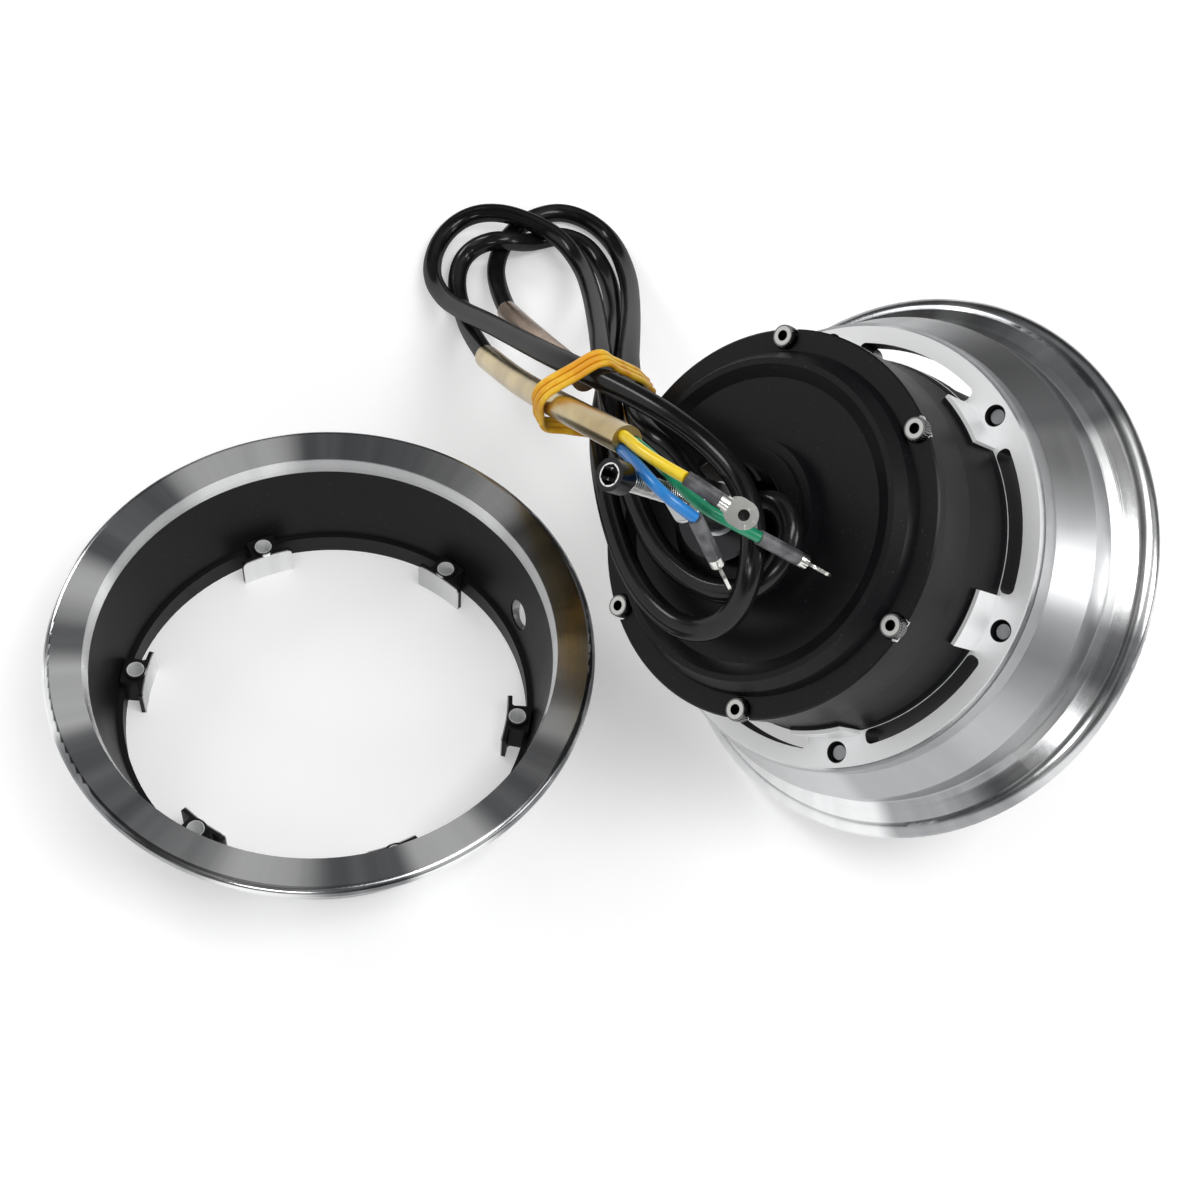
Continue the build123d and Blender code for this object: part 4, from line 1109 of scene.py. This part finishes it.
@dataclass
class Bundle:
    """The two cables with their sleeves, the three phase wires with their ends, and the rubber band."""

    groups: Groups
    power: Cord = Cord("power_cable_jacket", "power_cable", (
        (136.0, 4.8, 148.1), (140.8, 4.2, 152.3), (145.8, 0.0, 154.5), (148.7, -7.8, 152.7),
        (145.6, -16.0, 145.3), (138.0, -19.3, 136.5), (128.2, -15.7, 129.5), (119.5, -8.8, 125.3),
        (110.3, 1.8, 122.6), (103.0, 15.6, 122.8), (97.0, 29.1, 125.6), (92.3, 47.8, 121.1),
        (88.4, 70.4, 113.4), (84.0, 103.1, 94.6), (80.3, 146.2, 62.9), (74.8, 193.2, 30.8),
        (68.6, 222.7, 14.0), (58.0, 238.2, 12.5), (44.3, 244.6, 13.3), (30.9, 248.5, 12.6),
        (18.8, 248.8, 9.0), (9.8, 242.3, 5.5), (5.2, 229.4, 4.0), (6.4, 212.5, 6.0),
        (14.1, 194.4, 14.0), (25.3, 172.2, 32.4), (37.9, 146.8, 56.3), (53.2, 114.0, 86.3),
        (67.9, 81.4, 116.6), (81.5, 61.8, 133.2), (95.2, 49.7, 140.4), (108.6, 36.3, 147.6),
        (119.5, 20.9, 156.4), (128.7, 7.0, 161.5), (134.3, -4.0, 161.2), (136.9, -14.1, 157.2),
        (137.3, -21.7, 150.4), (136.0, -26.1, 141.6), (132.9, -27.9, 133.3), (127.7, -27.7, 125.7),
        (121.2, -24.2, 119.5), (114.2, -17.6, 115.3), (106.6, -7.9, 112.9), (100.1, 3.7, 112.8),
        (94.4, 17.2, 115.1), (90.4, 30.0, 117.8), (87.5, 52.4, 108.1), (86.5, 75.8, 98.5),
        (87.0, 109.2, 79.8), (86.9, 146.7, 56.2), (84.8, 195.7, 20.3), (79.9, 226.8, 5.0),
        (70.5, 243.2, 4.0), (58.3, 247.8, 4.0), (49.7, 243.3, 4.0), (43.7, 237.6, 7.0),
        (37.7, 232.5, 12.4), (31.8, 231.4, 13.2), (26.4, 230.6, 11.2), (21.5, 229.8, 7.6),
        (17.8, 225.4, 4.8), (16.8, 217.3, 4.0), (18.3, 207.1, 4.0), (22.4, 195.2, 6.0),
        (26.3, 177.9, 18.4), (31.4, 160.6, 30.3), (39.3, 137.7, 46.5),
    ), 1.27, 0.0039, "cable_black")
    signal: Cord = Cord("signal_cable_jacket", "signal_cable", (
        (123.9, 11.9, 140.9), (117.7, 18.8, 139.2), (111.7, 28.2, 138.9), (105.0, 34.3, 137.2),
        (99.0, 47.9, 129.0), (96.5, 66.2, 118.8), (93.4, 97.6, 100.0), (92.9, 131.0, 76.6),
        (91.8, 177.6, 41.9), (88.9, 219.7, 14.0), (81.5, 246.2, 4.1), (70.3, 257.6, 4.1),
        (56.7, 262.0, 4.1), (44.6, 256.3, 4.1), (36.7, 245.9, 4.1), (33.0, 234.5, 4.1),
        (32.4, 221.8, 5.0), (36.0, 206.6, 9.0), (42.4, 182.5, 23.6),
    ), 0.41, 0.0039, "cable_black")
    power_sleeve: tuple[Point, ...] = (
        (39.3, 137.7, 46.5), (54.7, 97.2, 82.8), (68.7, 61.9, 117.2), (82.2, 31.1, 147.4),
        (96.0, 3.4, 173.7),
    )
    signal_sleeve: tuple[Point, ...] = (
        (42.4, 182.5, 23.6), (53.3, 147.8, 53.3), (64.2, 115.6, 81.0), (73.1, 91.1, 101.5),
        (79.3, 74.8, 114.9),
    )
    yellow: Cord = Cord("yellow_wire_jacket", "yellow_wire", (
        (94.2, 5.0, 174.8), (102.5, -8.4, 182.2), (113.8, -16.8, 185.5),
    ), 0.037, 0.0018, "wire_yellow")
    blue: Cord = Cord("blue_wire_jacket", "blue_wire", (
        (94.8, 1.4, 172.3), (100.6, -10.7, 179.7), (106.0, -20.5, 184.0), (112.2, -24.4, 182.3),
        (117.8, -25.5, 178.7),
    ), 0.047, 0.0018, "wire_blue")
    green: Cord = Cord("green_wire_jacket", "green_wire", (
        (98.2, 3.5, 173.7), (107.6, -4.0, 172.9), (118.6, -16.3, 172.8), (129.1, -19.1, 169.9),
        (137.6, -19.1, 164.7),
    ), 0.055, 0.0018, "wire_green")
    into_sleeve: float = 5.0

    def placed(self, route: Sequence[Point]) -> list[Vector]:
        """Turn given points into places in the row's frame.

        Args:
            route: Points in millimetres from the middle of the removable half.

        Returns:
            The same points in metres.
        """
        middle = box_middle("removable_rim_half")
        return [Vector((middle.x, middle.y, 0.0)) + Vector(point) * MM for point in route]

    def lay(self, cord: Cord, points: list[Vector], finish: Finish) -> None:
        """Lay one cord as a smooth spline in place of its tube.

        Args:
            cord: What it is.
            points: Its control points.
            finish: Its finish.
        """
        data = bpy.data.curves.new(cord.name, "CURVE")
        data.dimensions = "3D"
        data.bevel_depth = cord.radius
        data.bevel_resolution = 6
        data.use_fill_caps = True
        data.resolution_u = 10
        line = data.splines.new("NURBS")
        line.points.add(len(points) - 1)
        for spot, place in zip(line.points, points):
            spot.co = (*place, 1.0)
        line.order_u = 3
        line.use_endpoint_u = True
        laid = linked(cord.name, data)
        data.materials.append(finish.material)
        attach(laid, Body.AXLE_SIDE.value)
        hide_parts(cord.node)
        LOG.info("%s laid", cord.name)

    def shared_out(self, node: Thing, finish: Finish) -> dict[str, Thing]:
        """Copy a node's solids into one piece for each wire.

        Args:
            node: A node with one solid on each wire.
            finish: The pieces' finish.

        Returns:
            The pieces by the wire's node name.
        """
        ends = {cord.node: self.placed(cord.route)[-1] for cord in (self.yellow, self.blue, self.green)}
        solids = bmesh.new()
        solids.from_mesh(node.data)
        bmesh.ops.remove_doubles(solids, verts=solids.verts, dist=1e-6)
        solids.verts.index_update()
        waiting = set(solids.verts)
        islands = []
        while waiting:
            found = [waiting.pop()]
            island = list(found)
            while found:
                for edge in found.pop().link_edges:
                    for vert in edge.verts:
                        if vert in waiting:
                            waiting.remove(vert)
                            found.append(vert)
                            island.append(vert)
            islands.append(island)
        # A terminal lies past its own wire's end and may be nearer to another's, so all are matched at once
        centres = [sum((vert.co for vert in island), Vector()) / len(island) for island in islands]
        matched = min(permutations(ends), key=lambda wires: sum(
            (ends[wire] - centre).length for wire, centre in zip(wires, centres, strict=True)))
        owners = {vert: wire for wire, island in zip(matched, islands) for vert in island}
        pieces = {}
        for wire in ends:
            kept = solids.copy()
            kept.verts.ensure_lookup_table()
            others = [kept.verts[vert.index] for vert, owner in owners.items() if owner != wire]
            bmesh.ops.delete(kept, geom=others, context="VERTS")
            mesh = bpy.data.meshes.new(f"{wire}_{node.name}")
            kept.to_mesh(mesh)
            kept.free()
            mesh.materials.append(finish.material)
            piece = linked(mesh.name, mesh)
            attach(piece, Body.AXLE_SIDE.value)
            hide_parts(node.name)
            pieces[wire] = piece
        solids.free()
        return pieces

    def build(self, nodes: dict[str, Thing]) -> None:
        """Lay every cord and dress what is on them.

        Args:
            nodes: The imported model's objects by name.
        """
        jacket = Insulation("cable_jacket", (0.005, 0.005, 0.0055), (0.010, 0.010, 0.011), 0.26, 0.24, 60.0, 500.0,
                            specular=0.0, coat_index=2.0, coat_roughness=0.18)
        gold = Insulation("sleeve_gold", (0.34, 0.24, 0.085), (0.50, 0.385, 0.165), 0.24, 0.0, 40.0, 200.0, 1.0)
        film = Insulation("sleeve_copper", (0.26, 0.15, 0.08), (0.40, 0.26, 0.155), 0.26, 0.0, 40.0, 200.0, 1.0)
        yellow = Insulation("wire_yellow", (0.88, 0.60, 0.01), (0.95, 0.70, 0.02), 0.30, 0.3, 120.0, 500.0)
        blue = Insulation("wire_blue", (0.010, 0.15, 0.46), (0.015, 0.21, 0.58), 0.30, 0.3, 120.0, 500.0)
        green = Insulation("wire_green", (0.004, 0.21, 0.10), (0.008, 0.32, 0.16), 0.30, 0.3, 120.0, 500.0)
        tube = Insulation("shrink_tube", (0.05, 0.05, 0.055), (0.14, 0.14, 0.145), 0.42, 0.0, 200.0, 260.0)
        rubber = Insulation("band_rubber", (0.80, 0.36, 0.01), (0.90, 0.56, 0.03), 0.46, 0.1, 160.0, 700.0)
        dress(nodes["power_sleeve"], gold.finish(self.groups))
        dress(nodes["signal_sleeve"], film.finish(self.groups))
        dress(nodes["rubber_band"], rubber.finish(self.groups))
        tin = Finish("terminal_tin", self.groups)
        tin.plain((0.74, 0.74, 0.71), 1.0, 0.28)
        wear = tin.group(self.groups.wear)
        tin.set("Roughness", tin.graph.math("MULTIPLY_ADD", wear["Smudge"], 0.22, 0.16))
        shrinks = self.shared_out(nodes["wire_shrinks"], tube.finish(self.groups))
        terminals = self.shared_out(nodes["ring_terminals"], tin)
        power_sleeve, signal_sleeve = self.placed(self.power_sleeve), self.placed(self.signal_sleeve)
        black = jacket.finish(self.groups)
        inward = self.into_sleeve * MM
        for cord, tube_line, on_it in ((self.power, power_sleeve, "power_sleeve"),
                                       (self.signal, signal_sleeve, "signal_sleeve")):
            end = tube_line[0] + (tube_line[1] - tube_line[0]).normalized() * inward
            self.lay(cord, self.placed(cord.route) + [end], black)
        leave = (power_sleeve[-1] - power_sleeve[-2]).normalized() * inward
        for cord, colour in ((self.yellow, yellow), (self.blue, blue), (self.green, green)):
            points = self.placed(cord.route)
            self.lay(cord, [points[0] - leave] + points, colour.finish(self.groups))


def motor_axis(frame: dict) -> Axis:
    """The motor's axis, from the joint that its rotor turns on.


    Returns:
        The axis, with angle 0 level.
    """
    joint = frame["record"]["behaviour"]["joints"][0]
    along = Vector(joint["axis"]).normalized()
    return Axis(Vector(joint["pos_m"]), along, Vector((0.0, 0.0, 1.0)).cross(along).normalized())


def main() -> None:
    """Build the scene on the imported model."""
    logging.basicConfig(level=logging.INFO)
    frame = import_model()
    nodes = frame["nodes"]
    bpy.context.scene.view_settings.view_transform = "Standard"
    studio = Studio()
    studio.place_camera()
    groups = Groups()
    Bundle(groups).build(nodes)
    studio.lay_floor()
    studio.hang_lights()
    Removed(groups).dress(nodes)
    Motor(motor_axis(frame), groups).dress(nodes)


if __name__ == "__main__":
    main()
